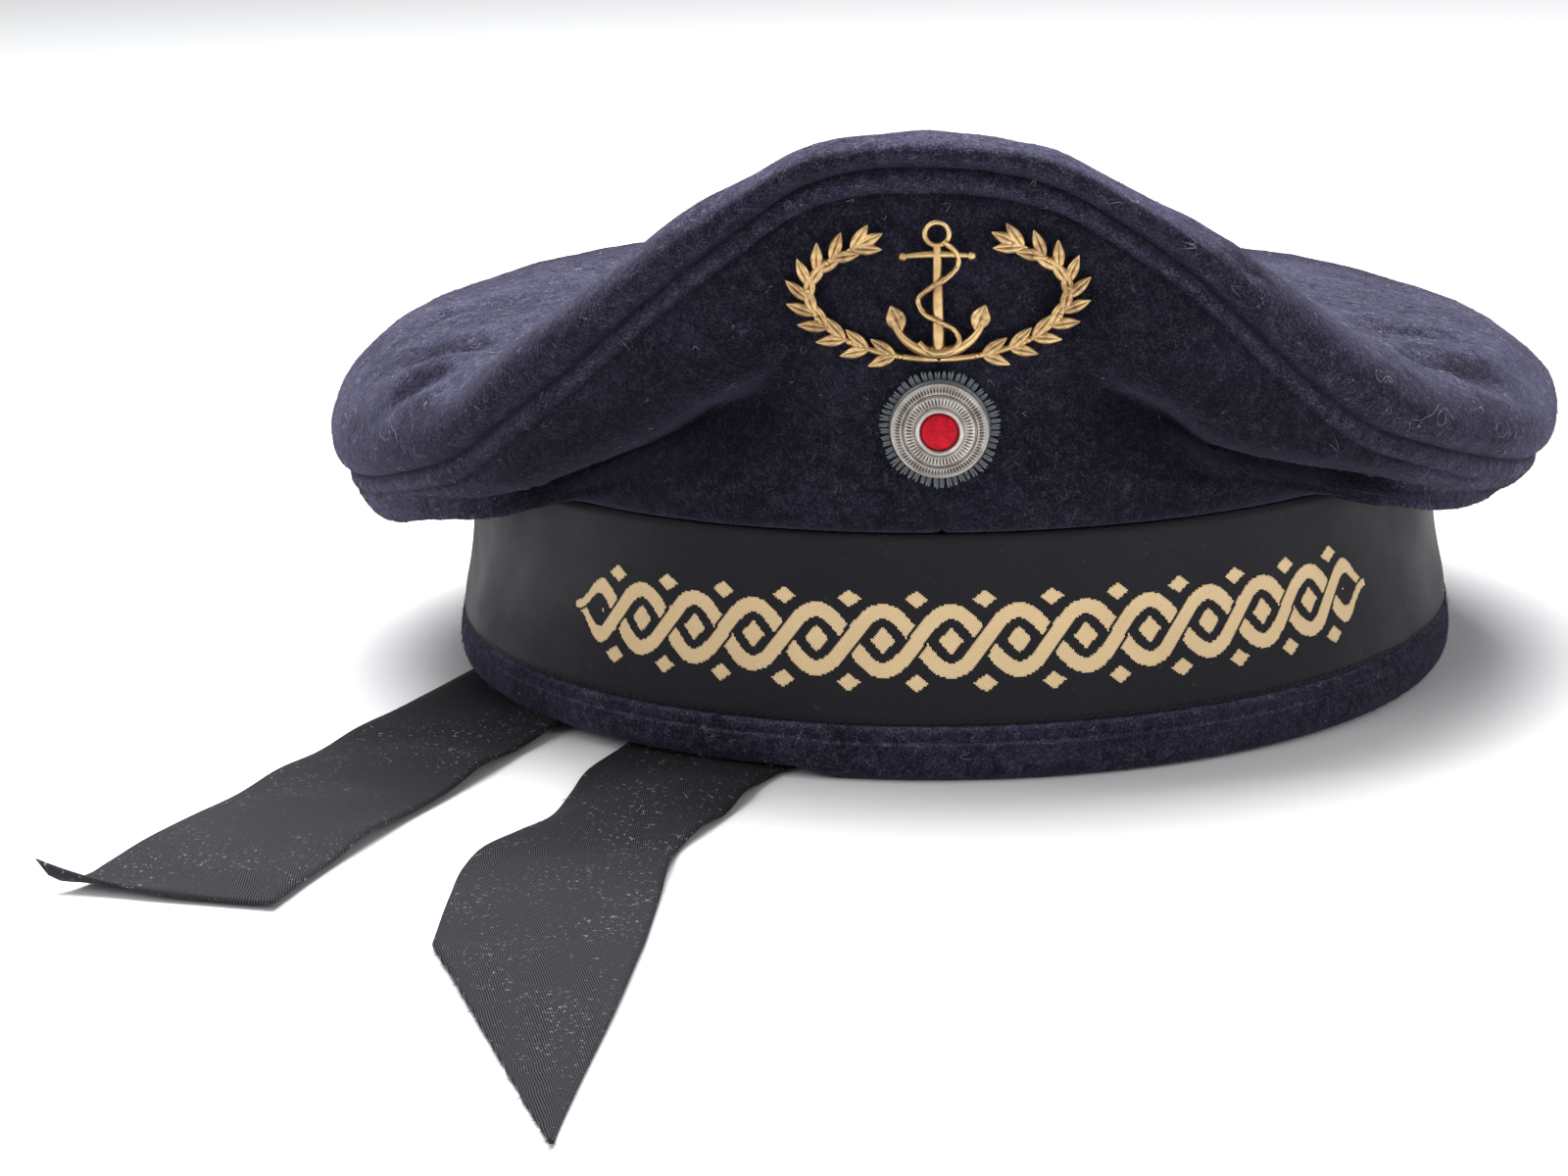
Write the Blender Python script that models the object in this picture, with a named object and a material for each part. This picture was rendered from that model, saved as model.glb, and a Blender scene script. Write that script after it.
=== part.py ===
"""Sailor cap: wool crown and headband, woven ribbon with two tails, cockade and anchor badge.

Metres and +Z up in the scene; the tables and sizes below are in millimetres and degrees. The cap faces -Y.
Angles go round the head opening: 0 is the front, +90 the wearer's left (+X) and 180 the back. The shapes are
worked out about the centre of the head opening at floor height, and an empty then carries every piece to the
frame's origin, which is the middle of the whole object's footprint.
"""

import math
from collections import namedtuple

import bmesh
import bpy
import numpy as np
from mathutils import Vector

MM = 0.001

# Driving dimensions.
HEAD_HALF_WIDTH = 92.0  # outside of the ribbon, left to right
HEAD_HALF_LENGTH = 98.0  # outside of the ribbon, front to back
BAND_HEIGHT = 41.3
WELT_HEIGHT = 9.0  # wool that shows below the ribbon
WOOL = 1.6
BAND_WALL = 2.4
RIBBON = 0.8
RIBBON_WIDTH = 32.0
TAIL = 1.0
GAP = 0.3
SEAM_GROOVE = 0.6
SEAM_REACH = 1.6  # how far from the seam line the cloth dips into it
TAIL_CLEARANCE = 1.4  # height of the rim where it passes over the ribbon tails
FRONT_MIDDLE = 0.9  # the front seam and what is pinned over it stand this much off the middle
COCKADE_HEIGHT = 60.3
COCKADE_TEETH = 48
COCKADE_RADIUS = 9.8
COCKADE_STANDOFF = 0.9  # from the wool to the back of its rim
BADGE_STANDOFF = 0.66
BADGE_HEIGHT = 83.0
SPRAY_HALF_WIDTH = 21.0
SPRAY_HALF_HEIGHT = 10.4
SPRAY_LEAVES = 11  # pairs on each side
SPRAY_FROM, SPRAY_TO = -97.0, 50.0  # where a spray starts and ends on its oval, in degrees from its side
LEAF_SPREAD = 0.5  # radians between a leaf and its stem

# How far the ribbon's outside stands in from the head oval, by height.
FlareRow = namedtuple("FlareRow", "height inset")
FLARE = (
    FlareRow(WELT_HEIGHT, 0.0),
    FlareRow(13.0, 0.4),
    FlareRow(18.0, 1.4),
    FlareRow(24.0, 2.3),
    FlareRow(31.0, 2.7),
    FlareRow(BAND_HEIGHT, 2.3),
)

# The welt below the ribbon, in section from the rim up: how far in it stands from the head oval, its height,
# and how much further out it bulges at the front.
WeltRow = namedtuple("WeltRow", "inset height bulge")
WELT = (
    WeltRow(1.2, 0.0, 1.4),
    WeltRow(0.0, 0.9, 2.0),
    WeltRow(-0.6, 3.2, 1.8),
    WeltRow(-0.6, 6.4, 0.9),
    WeltRow(0.1, WELT_HEIGHT - GAP, 0.2),
)
RIM_INSET = 0.8  # how much further in the rim's inner edge stands than the band above it

# The crown in section at each angle, as radius and height of the features that a finger would feel on its
# way from the ribbon to the middle of the top: the belly over the ribbon, the fold above it, the lip that
# overhangs the fold, the seam between side and top, the outside and the crest of the rolled edge, and then
# the heights of the top plate at its shoulder and half way in.
CrownRow = namedtuple(
    "CrownRow",
    "angle belly_r belly_z fold_r fold_z lip_r lip_z seam_r seam_z"
    " roll_r roll_z crest_r crest_z shoulder_z middle_z",
)
CROWN = (
    CrownRow(-150, 106.0, 31.0, 108.5, 33.0, 111.0, 35.5, 114.0, 40.0, 116.5, 47.5, 108.5, 59.5, 65.5, 69.0),
    CrownRow(-120, 107.0, 29.0, 109.4, 31.0, 111.6, 33.8, 114.2, 38.5, 116.2, 46.5, 107.8, 59.5, 66.5, 70.0),
    CrownRow(-92, 107.6, 27.8, 109.8, 29.8, 111.4, 32.6, 113.4, 36.8, 115.4, 45.5, 106.8, 59.0, 66.5, 70.3),
    CrownRow(-75, 106.2, 30.4, 108.6, 33.0, 110.4, 34.8, 112.6, 37.8, 114.8, 45.5, 105.8, 59.0, 66.5, 70.3),
    CrownRow(-60, 103.5, 34.6, 104.5, 39.0, 107.6, 39.8, 110.8, 43.2, 113.2, 49.5, 105.2, 60.5, 67.0, 70.8),
    CrownRow(-50, 100.0, 37.5, 97.5, 42.6, 105.8, 43.0, 109.3, 49.5, 112.0, 55.0, 104.3, 64.0, 68.0, 70.5),
    CrownRow(-42, 98.0, 42.0, 92.5, 46.6, 104.8, 47.4, 108.2, 59.0, 111.0, 64.5, 103.2, 72.6, 71.5, 71.5),
    CrownRow(-36, 97.5, 44.5, 90.5, 50.6, 103.9, 52.6, 107.4, 66.6, 109.8, 72.5, 102.4, 79.8, 75.0, 73.0),
    CrownRow(-30, 97.5, 46.5, 90.0, 55.4, 103.0, 58.5, 106.5, 75.4, 108.6, 80.5, 101.5, 87.5, 79.5, 74.5),
    CrownRow(-24, 98.0, 47.5, 91.5, 60.4, 102.0, 64.7, 105.5, 84.3, 107.2, 89.0, 100.5, 95.0, 85.5, 76.5),
    CrownRow(-18, 98.5, 48.0, 94.0, 64.0, 101.0, 69.6, 105.0, 92.3, 106.2, 96.3, 100.0, 100.3, 91.0, 78.0),
    CrownRow(-12, 98.8, 48.0, 97.2, 68.0, 99.6, 77.0, 104.6, 99.6, 105.7, 102.8, 99.8, 105.7, 96.0, 79.5),
    CrownRow(-6, 99.2, 47.0, 99.7, 62.0, 101.4, 80.0, 104.2, 103.0, 105.2, 105.9, 99.6, 108.5, 99.5, 80.0),
    CrownRow(0, 99.2, 47.0, 99.8, 62.0, 101.5, 80.0, 104.0, 103.3, 105.0, 106.4, 99.5, 109.2, 100.0, 80.0),
    CrownRow(6, 99.2, 47.0, 99.7, 62.0, 101.4, 80.0, 104.2, 102.3, 105.2, 105.3, 99.6, 107.9, 99.5, 80.0),
    CrownRow(12, 98.8, 48.0, 97.4, 68.0, 99.7, 77.0, 104.6, 98.7, 105.7, 102.0, 99.8, 104.8, 95.5, 79.5),
    CrownRow(18, 98.5, 48.0, 93.6, 63.6, 101.0, 69.0, 104.9, 92.2, 106.2, 95.6, 100.0, 99.2, 90.5, 78.0),
    CrownRow(24, 98.0, 47.5, 91.0, 59.0, 102.0, 63.2, 105.5, 84.1, 107.2, 88.1, 100.5, 93.4, 85.0, 76.5),
    CrownRow(30, 97.5, 46.5, 89.6, 52.8, 103.0, 56.0, 106.5, 73.6, 108.6, 78.6, 101.5, 86.2, 79.0, 74.2),
    CrownRow(36, 97.5, 45.0, 89.6, 49.6, 103.8, 51.5, 107.4, 63.6, 109.8, 69.5, 102.4, 78.6, 75.0, 73.0),
    CrownRow(42, 98.0, 42.5, 91.0, 47.2, 104.7, 48.8, 108.3, 55.7, 110.8, 62.0, 103.3, 71.4, 71.5, 71.5),
    CrownRow(50, 99.5, 38.5, 95.0, 43.6, 105.7, 44.9, 108.9, 49.8, 111.4, 54.5, 104.0, 64.0, 68.0, 70.5),
    CrownRow(60, 101.0, 35.0, 101.0, 38.6, 106.0, 39.2, 109.0, 44.4, 111.2, 49.0, 103.0, 58.5, 64.5, 69.5),
    CrownRow(75, 100.6, 31.3, 102.6, 33.6, 105.6, 34.6, 108.6, 38.6, 111.2, 45.6, 102.5, 56.5, 63.0, 68.5),
    CrownRow(92, 101.4, 29.5, 104.4, 31.4, 107.0, 33.4, 109.6, 36.8, 112.2, 45.0, 103.0, 55.5, 62.0, 68.0),
    CrownRow(120, 103.4, 29.5, 106.2, 31.6, 108.8, 34.2, 111.6, 38.5, 114.2, 46.0, 105.0, 56.5, 62.0, 67.5),
    CrownRow(150, 105.0, 31.0, 107.5, 33.0, 110.0, 35.5, 113.0, 40.0, 115.5, 47.5, 107.5, 58.0, 62.0, 67.0),
    CrownRow(180, 105.0, 32.0, 107.6, 34.0, 110.5, 36.5, 113.4, 41.0, 116.0, 48.5, 108.5, 59.0, 63.0, 67.5),
)
TOP_CENTRE_Z = 71.5
SHOULDER = 0.82  # of the crest's radius
MIDDLE = 0.45

# The cockade's disc from its edge inwards, by radius and by height over its back: a low dished flange, the
# raised bezel and the recess that holds the middle.
DiscRing = namedtuple("DiscRing", "radius height")
DISC_RINGS = (
    DiscRing(8.2, 0.0),
    DiscRing(8.45, 0.5),
    DiscRing(7.8, 1.0),
    DiscRing(5.6, 1.35),
    DiscRing(4.3, 1.35),
    DiscRing(3.9, 2.0),
    DiscRing(3.4, 2.0),
    DiscRing(3.2, 1.4),
    DiscRing(3.15, 0.8),
)

# The ribbon tails by their middle line, from the knot to the cut end. Heading is the way the tail runs, in
# degrees clockwise from -Y as seen from above; lift is the height of its top face over the floor.
TailRow = namedtuple("TailRow", "x y lift heading width")
NEAR_TAIL = (
    TailRow(8.0, 102.2, 12.2, 0.0, 13.0),
    TailRow(10.4, 102.2, 7.4, 2.0, 20.0),
    TailRow(13.2, 101.8, 4.0, 6.0, 26.0),
    TailRow(15.2, 100.4, 2.0, 10.0, 30.0),
    TailRow(16.0, 98.2, 1.1, 14.0, 31.5),
    TailRow(15.0, 93.0, 1.0, 16.0, RIBBON_WIDTH),
    TailRow(-13.8, 0.0, 1.0, 17.0, RIBBON_WIDTH),
    TailRow(-44.6, -99.0, 1.0, 17.0, RIBBON_WIDTH),
    TailRow(-51.0, -124.0, 2.6, 14.0, RIBBON_WIDTH),
    TailRow(-55.6, -146.0, 1.6, 8.0, RIBBON_WIDTH),
    TailRow(-57.0, -170.0, 1.2, 3.0, RIBBON_WIDTH),
    TailRow(-57.8, -186.0, 1.0, 3.0, RIBBON_WIDTH),
)
NEAR_CUT_ROWS = 6
NEAR_CUT_LENGTH = 82.0  # how much longer the ribbon's right edge is than its left edge
FAR_TAIL = (
    TailRow(-8.0, 102.2, 12.2, 0.0, 13.0),
    TailRow(-11.0, 102.4, 7.4, 0.0, 20.0),
    TailRow(-14.6, 102.2, 4.0, 2.0, 26.0),
    TailRow(-17.6, 101.4, 2.0, 4.0, 30.0),
    TailRow(-20.4, 99.4, 1.1, 8.0, 31.5),
    TailRow(-23.4, 93.5, 1.0, 16.0, RIBBON_WIDTH),
    TailRow(-26.8, 85.0, 1.0, 22.0, RIBBON_WIDTH),
    TailRow(-44.0, 45.0, 1.0, 22.0, RIBBON_WIDTH),
    TailRow(-61.0, 0.0, 1.0, 20.0, RIBBON_WIDTH),
    TailRow(-84.4, -66.0, 1.0, 19.0, RIBBON_WIDTH),
    TailRow(-91.6, -87.0, 1.8, 19.0, RIBBON_WIDTH),
    TailRow(-98.9, -108.5, 1.0, 19.0, RIBBON_WIDTH),
    TailRow(-108.6, -136.8, 1.8, 19.0, RIBBON_WIDTH),
    TailRow(-117.8, -162.0, 1.0, 19.0, RIBBON_WIDTH),
)

# Stretches of the rim that pass over the tails, as first and last angle.
RIM_LIFTS = ((-90.0, -10.3), (152.0, 222.0))
RIM_LIFT_FADE = 5.0

FINE_STEP = 5.0  # angle between sections at the front
FINE_TO = 60.0
COARSE_STEP = 10.0


def smooth_through(knots, at):
    """Values of a smooth curve through knots (position, value, ...) at each position asked for."""
    knots = np.asarray(knots, float)
    position, value = knots[:, 0], knots[:, 1:]
    step = np.diff(position)[:, None]
    slope = np.diff(value, axis=0) / step
    between = (slope[:-1] * step[1:] + slope[1:] * step[:-1]) / (step[1:] + step[:-1])
    tangent = np.vstack([slope[:1], between, slope[-1:]])
    at = np.atleast_1d(np.asarray(at, float))
    i = np.clip(np.searchsorted(position, at, side="right") - 1, 0, len(position) - 2)
    t = ((at - position[i]) / step[i, 0])[:, None]
    return (
        (1 + 2 * t) * (1 - t) ** 2 * value[i]
        + t * (1 - t) ** 2 * step[i] * tangent[i]
        + t * t * (3 - 2 * t) * value[i + 1]
        + t * t * (t - 1) * step[i] * tangent[i + 1]
    )


def crown_row(angle):
    """The crown's section at any angle, read smoothly from the table, which closes on itself."""
    angle = (angle + 180.0) % 360.0 - 180.0
    table = np.array(CROWN)
    before, after = table[-3:].copy(), table[:3].copy()
    before[:, 0] -= 360.0
    after[:, 0] += 360.0
    return CrownRow(angle, *smooth_through(np.vstack([before, table, after]), angle)[0])


def head_radius(angle):
    """Distance from the centre to the head oval at an angle."""
    side = HEAD_HALF_LENGTH * math.sin(math.radians(angle))
    front = HEAD_HALF_WIDTH * math.cos(math.radians(angle))
    return HEAD_HALF_WIDTH * HEAD_HALF_LENGTH / math.hypot(side, front)


def ribbon_inset(height):
    return float(smooth_through(FLARE, min(max(height, FLARE[0].height), FLARE[-1].height))[0, 0])


def at_angle(angle, radius, height):
    """A point in millimetres, from its angle, radius and height."""
    turn = math.radians(angle)
    return Vector((radius * math.sin(turn), -radius * math.cos(turn), height))


def section_angles():
    """Angles of the crown's sections, closer together where the folds are."""
    fine = np.arange(0.0, FINE_TO, FINE_STEP)
    coarse = np.arange(FINE_TO, 180.0, COARSE_STEP)
    half = np.concatenate([fine, coarse])
    return np.concatenate([-half[:0:-1], half, [180.0]])


def along_knots(knots, samples):
    """Points along a smooth curve through 2-D knots, with so many steps in each span."""
    knots = np.asarray(knots, float)
    run = np.concatenate([[0.0], np.cumsum(np.hypot(*np.diff(knots, axis=0).T))])
    at = [run[0]]
    for span, steps in enumerate(samples):
        at.extend(run[span] + (run[span + 1] - run[span]) * (np.arange(steps) + 1.0) / steps)
    return smooth_through(np.column_stack([run, knots]), at)


def seam_directions(row):
    """Unit vectors along the section and into the cap at the seam between side and top."""
    along = np.array([row.roll_r - row.lip_r, row.roll_z - row.lip_z])
    along /= np.hypot(*along)
    return along, np.array([-along[1], along[0]])


def side_section(angle):
    """Outside of a side panel in section, from the headband's top to the seam, as rows of radius, height."""
    row, head = crown_row(angle), head_radius(angle)
    seam = np.array([row.seam_r, row.seam_z])
    along, inwards = seam_directions(row)
    knots = (
        (head - 5.4, BAND_HEIGHT + 0.4),
        (head - 1.2, BAND_HEIGHT + 0.7),
        (row.belly_r, row.belly_z),
        (row.fold_r, row.fold_z),
        (row.lip_r, row.lip_z),
        seam - along * SEAM_REACH,
        seam + along,
    )
    points = along_knots(knots, (1, 2, 2, 2, 3))
    return np.vstack([points, seam + inwards * SEAM_GROOVE - along * GAP / 2])


def dipped(section):
    """A section moved into the cloth by the depth of a seam's groove."""
    way = np.gradient(section, axis=0)
    way /= np.hypot(way[:, 0], way[:, 1])[:, None]
    return section + SEAM_GROOVE * np.column_stack([-way[:, 1], way[:, 0]])


def top_section(angle):
    """Outside of the top plate in section, from the seam over the rolled edge to the middle."""
    row, other = crown_row(angle), crown_row(angle + 180.0)
    seam = np.array([row.seam_r, row.seam_z])
    along, inwards = seam_directions(row)
    knots = (
        seam + along * SEAM_REACH,
        (row.roll_r, row.roll_z),
        (row.crest_r, row.crest_z),
        (row.crest_r * SHOULDER, row.shoulder_z),
        (row.crest_r * MIDDLE, row.middle_z),
        (0.0, TOP_CENTRE_Z),
        (-other.crest_r * MIDDLE, other.middle_z),
    )
    points = along_knots(knots, (1, 3, 2, 2, 2))
    return np.vstack([seam + inwards * SEAM_GROOVE + along * GAP / 2, points])


def add_grid(mesh, points):
    """Adds a grid of faces on points[i][j], in millimetres, and welds its edges where they meet."""
    across, along = len(points) - 1, len(points[0]) - 1
    made = bmesh.ops.create_grid(mesh, x_segments=across, y_segments=along, size=1.0)["verts"]
    for vertex in made:
        i = round((vertex.co.x + 1.0) / 2.0 * across)
        j = round((vertex.co.y + 1.0) / 2.0 * along)
        vertex.co = Vector(points[i][j]) * MM
    bmesh.ops.remove_doubles(mesh, verts=made, dist=1e-6)


def add_turned(mesh, profile, segments, place):
    """Adds a solid turned from rows of radius, depth that start and end on the axis."""
    rows = []
    for k in range(segments + 1):
        turn = 2.0 * math.pi * (k % segments) / segments
        c, s = math.cos(turn), math.sin(turn)
        rows.append([place(radius * c, radius * s, depth) for radius, depth in profile])
    add_grid(mesh, rows)


def add_tube(mesh, path, radii, sides, place):
    """Adds a round bar, capped at its ends, along points that are given as x, height, depth."""
    rows = []
    for k, (x, z, depth) in enumerate(path):
        ahead = path[min(k + 1, len(path) - 1)]
        behind = path[max(k - 1, 0)]
        way = Vector((ahead[0] - behind[0], ahead[1] - behind[1])).normalized()
        ring = []
        for side in range(sides + 1):
            turn = 2.0 * math.pi * (side % sides) / sides
            out, deep = radii[k] * math.cos(turn), radii[k] * math.sin(turn)
            ring.append(place(x - way.y * out, z + way.x * out, depth + deep))
        rows.append(ring)
    add_grid(mesh, rows)
    bmesh.ops.holes_fill(mesh, edges=[e for e in mesh.edges if e.is_boundary])


def add_leaf(mesh, middle, turn, length, width, thick, place):
    """Adds a rounded leaf, pointed at both ends, that lies in the badge's plane at an angle."""
    x, z, depth = middle
    c, s = math.cos(turn), math.sin(turn)
    made = bmesh.ops.create_uvsphere(mesh, u_segments=8, v_segments=4, radius=1.0)["verts"]
    for vertex in made:
        along = vertex.co.x * length / 2
        across = vertex.co.y * width / 2 * (1.0 - vertex.co.x**2 / 2)
        out = vertex.co.z * thick / 2
        vertex.co = Vector(place(x + along * c - across * s, z + along * s + across * c, depth + out)) * MM


def finished(name, mesh, material, parent, smooth=True):
    """An object from a bmesh, with its faces outwards, its material and its parent."""
    data = bpy.data.meshes.new(name)
    mesh.to_mesh(data)
    mesh.free()
    data.materials.append(material)
    if smooth:
        data.shade_smooth()
        data.set_sharp_from_angle(angle=math.radians(40.0))
    made = bpy.data.objects.new(name, data)
    bpy.context.scene.collection.objects.link(made)
    made.parent = parent
    return made


def cloth(name, points, thickness, material, parent):
    """An object made of a sheet of points, with its wall added on the side its normals don't face."""
    mesh = bmesh.new()
    add_grid(mesh, points)
    made = finished(name, mesh, material, parent)
    wall = made.modifiers.new("wall", "SOLIDIFY")
    wall.thickness = thickness * MM
    wall.offset = -1.0
    wall.use_even_offset = True
    return made


def solid(name, mesh, material, parent, smooth=True):
    """An object from a bmesh that already encloses a volume."""
    bmesh.ops.recalc_face_normals(mesh, faces=mesh.faces)
    return finished(name, mesh, material, parent, smooth)


def material_of(name, colour, roughness, metallic=0.0):
    made = bpy.data.materials.new(name)
    made.use_nodes = True
    shader = made.node_tree.nodes["Principled BSDF"]
    shader.inputs["Base Color"].default_value = (*colour, 1.0)
    shader.inputs["Roughness"].default_value = roughness
    shader.inputs["Metallic"].default_value = metallic
    made.diffuse_color = (*colour, 1.0)
    return made


def rim_lift(angle):
    """How far the bottom of the rim is raised, where it passes over the tails."""
    lift = 0.0
    for first, last in RIM_LIFTS:
        for turned in (angle, angle + 360.0):
            inside = min(turned - first, last - turned) / RIM_LIFT_FADE
            lift = max(lift, min(max(inside, 0.0), 1.0))
    return TAIL_CLEARANCE * lift * lift * (3.0 - 2.0 * lift)


def build_headband(wool, cap):
    """The wool band: its welt stands out below the ribbon, and its flat rim rests on the surface."""
    outer = RIBBON + GAP
    inner = outer + BAND_WALL
    loop = [(row.inset, row.height, row.bulge) for row in WELT]
    loop += [(outer + row.inset, row.height, 0.0) for row in FLARE]
    loop += [(inner + row.inset, row.height, 0.0) for row in reversed(FLARE)]
    loop += [(inner + RIM_INSET, 0.0, 0.0), loop[0]]
    rows = []
    for angle in section_angles():
        head, lift = head_radius(angle), rim_lift(angle)
        front = max(math.cos(math.radians(angle)), 0.0) ** 2
        row = []
        for inset, z, bulge in loop:
            height = z + lift * max(1.0 - z / WELT_HEIGHT, 0.0)
            row.append(at_angle(angle, head - inset + bulge * front, height))
        rows.append(row)
    rows.insert(0, rows[-1])
    mesh = bmesh.new()
    add_grid(mesh, rows)
    return solid("headband", mesh, wool, cap)


def build_tally(ribbon, cap):
    heights = [WELT_HEIGHT + GAP] + [row.height for row in FLARE[1:]]
    rows = []
    for angle in section_angles():
        head = head_radius(angle)
        rows.append([at_angle(angle, head - ribbon_inset(z), z) for z in heights])
    rows.insert(0, rows[-1])
    return cloth("tally_ribbon", rows, RIBBON, ribbon, cap)


def build_crown(wool, cap):
    angles = section_angles()
    for name, first, last in (("crown_side_left", -180.0, 0.0), ("crown_side_right", 0.0, 180.0)):
        beside = GAP / 2 if first == 0.0 else -GAP / 2
        reach = math.degrees(SEAM_REACH / HEAD_HALF_LENGTH)
        between = [first + reach] + [a for a in angles if first < a < last] + [last - reach]
        rows = [[at_angle(a, r, z) for r, z in side_section(a)] for a in between]
        for middle, place, across in ((first, 0, beside), (last, len(rows) + 1, beside)):
            if middle == 0.0:
                across += FRONT_MIDDLE
            edge = [at_angle(middle, r, z) for r, z in dipped(side_section(middle))]
            rows.insert(place, [Vector((across, point.y, point.z)) for point in edge])
        cloth(name, rows, WOOL, wool, cap)
    rows = [[at_angle(angle, r, z) for r, z in top_section(angle)] for angle in angles]
    rows.insert(0, rows[-1])
    cloth("crown_top", rows, WOOL, wool, cap)


def tail_rows(table):
    """Left edge, middle and right edge of a tail at each row."""
    rows = []
    for row in table:
        turn = math.radians(row.heading)
        right = Vector((math.cos(turn), -math.sin(turn), 0.0)) * row.width / 2
        middle = Vector((row.x, row.y, row.lift))
        rows.append([middle - right, middle, middle + right])
    return rows


def build_tails(ribbon, cap):
    near = tail_rows(NEAR_TAIL)
    left, _, right = near[-1]
    turn = math.radians(NEAR_TAIL[-1].heading)
    tip = right + Vector((-math.sin(turn), -math.cos(turn), 0.0)) * NEAR_CUT_LENGTH
    for k in range(1, NEAR_CUT_ROWS + 1):
        part = k / (NEAR_CUT_ROWS + 0.1)
        ends = [left.lerp(tip, part), right.lerp(tip, part)]
        near.append([ends[0], (ends[0] + ends[1]) / 2, ends[1]])
    cloth("ribbon_tail_near", near, TAIL, ribbon, cap)
    cloth("ribbon_tail_far", tail_rows(FAR_TAIL), TAIL, ribbon, cap)


def build_knot(ribbon, cap):
    """The tie at the back: a flattened wrap of ribbon that stands on the tally's outside."""
    width, depth, low, high, rounding = 30.0, 7.0, 12.5, 29.5, 2.5
    front = head_radius(180.0) - ribbon_inset(low + rounding) + 2 * GAP
    mesh = bmesh.new()
    bmesh.ops.create_cube(mesh, size=1.0)
    bmesh.ops.scale(mesh, vec=Vector((width, depth, high - low)) * MM, verts=mesh.verts)
    bmesh.ops.translate(mesh, vec=Vector((0.0, front + depth / 2, (high + low) / 2)) * MM, verts=mesh.verts)
    bmesh.ops.bevel(mesh, geom=mesh.edges[:], offset=rounding * MM, segments=2, profile=0.5, affect="EDGES")
    return solid("ribbon_knot", mesh, ribbon, cap)


def wall_radius(height):
    """Radius of the front panel's outside at the middle of the front."""
    row = crown_row(0.0)
    heights = (row.belly_z, row.fold_z, row.lip_z, row.seam_z)
    radii = (row.belly_r, row.fold_r, row.lip_r, row.seam_r)
    return float(smooth_through(np.column_stack([heights, radii]), height)[0, 0])


def on_wall(x, z, depth):
    """A point of the badge, which bends round the front panel, by its place across, up and out."""
    radius = wall_radius(z + BADGE_HEIGHT) + BADGE_STANDOFF + depth
    turn = (FRONT_MIDDLE + x) / wall_radius(BADGE_HEIGHT)
    return radius * math.sin(turn), -radius * math.cos(turn), z + BADGE_HEIGHT


def on_cockade(x, z, depth):
    """A point of the flat cockade, which leans as the wall behind it does."""
    above, below = COCKADE_HEIGHT + COCKADE_RADIUS, COCKADE_HEIGHT - COCKADE_RADIUS
    lean = math.atan2(wall_radius(above) - wall_radius(below), above - below)
    out = wall_radius(COCKADE_HEIGHT) + COCKADE_STANDOFF + z * math.sin(lean) + depth * math.cos(lean)
    return FRONT_MIDDLE + x, -out, COCKADE_HEIGHT + z * math.cos(lean) - depth * math.sin(lean)


def build_cockade(rim_cloth, metal, felt, cap):
    """Three pieces, one in front of the other: a toothed rim, a ringed disc and a domed middle."""
    mesh = bmesh.new()
    rows = []
    for k in range(2 * COCKADE_TEETH + 1):
        turn = math.pi * (k % (2 * COCKADE_TEETH)) / COCKADE_TEETH
        edge = COCKADE_RADIUS if k % 2 == 0 else COCKADE_RADIUS - 0.9
        profile = ((0.0, 1.0), (7.6, 1.0), (edge, 0.9), (edge, 0.1), (0.0, 0.0))
        rows.append([on_cockade(r * math.cos(turn), r * math.sin(turn), depth) for r, depth in profile])
    add_grid(mesh, rows)
    solid("cockade_rim", mesh, rim_cloth, cap, smooth=False)

    disc_back = 1.0 + GAP
    recess = disc_back + 0.8
    disc = [(0.0, disc_back)]
    disc += [(ring.radius, disc_back + ring.height) for ring in DISC_RINGS]
    disc += [(0.0, recess)]
    mesh = bmesh.new()
    add_turned(mesh, disc, 36, on_cockade)
    solid("cockade_disc", mesh, metal, cap)

    seat = recess + GAP
    dome = ((0.0, 0.0), (2.85, 0.0), (2.8, 0.7), (2.2, 1.3), (1.2, 1.6), (0.0, 1.7))
    dome = [(radius, seat + height) for radius, height in dome]
    mesh = bmesh.new()
    add_turned(mesh, dome, 24, on_cockade)
    solid("cockade_centre", mesh, felt, cap)


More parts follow.
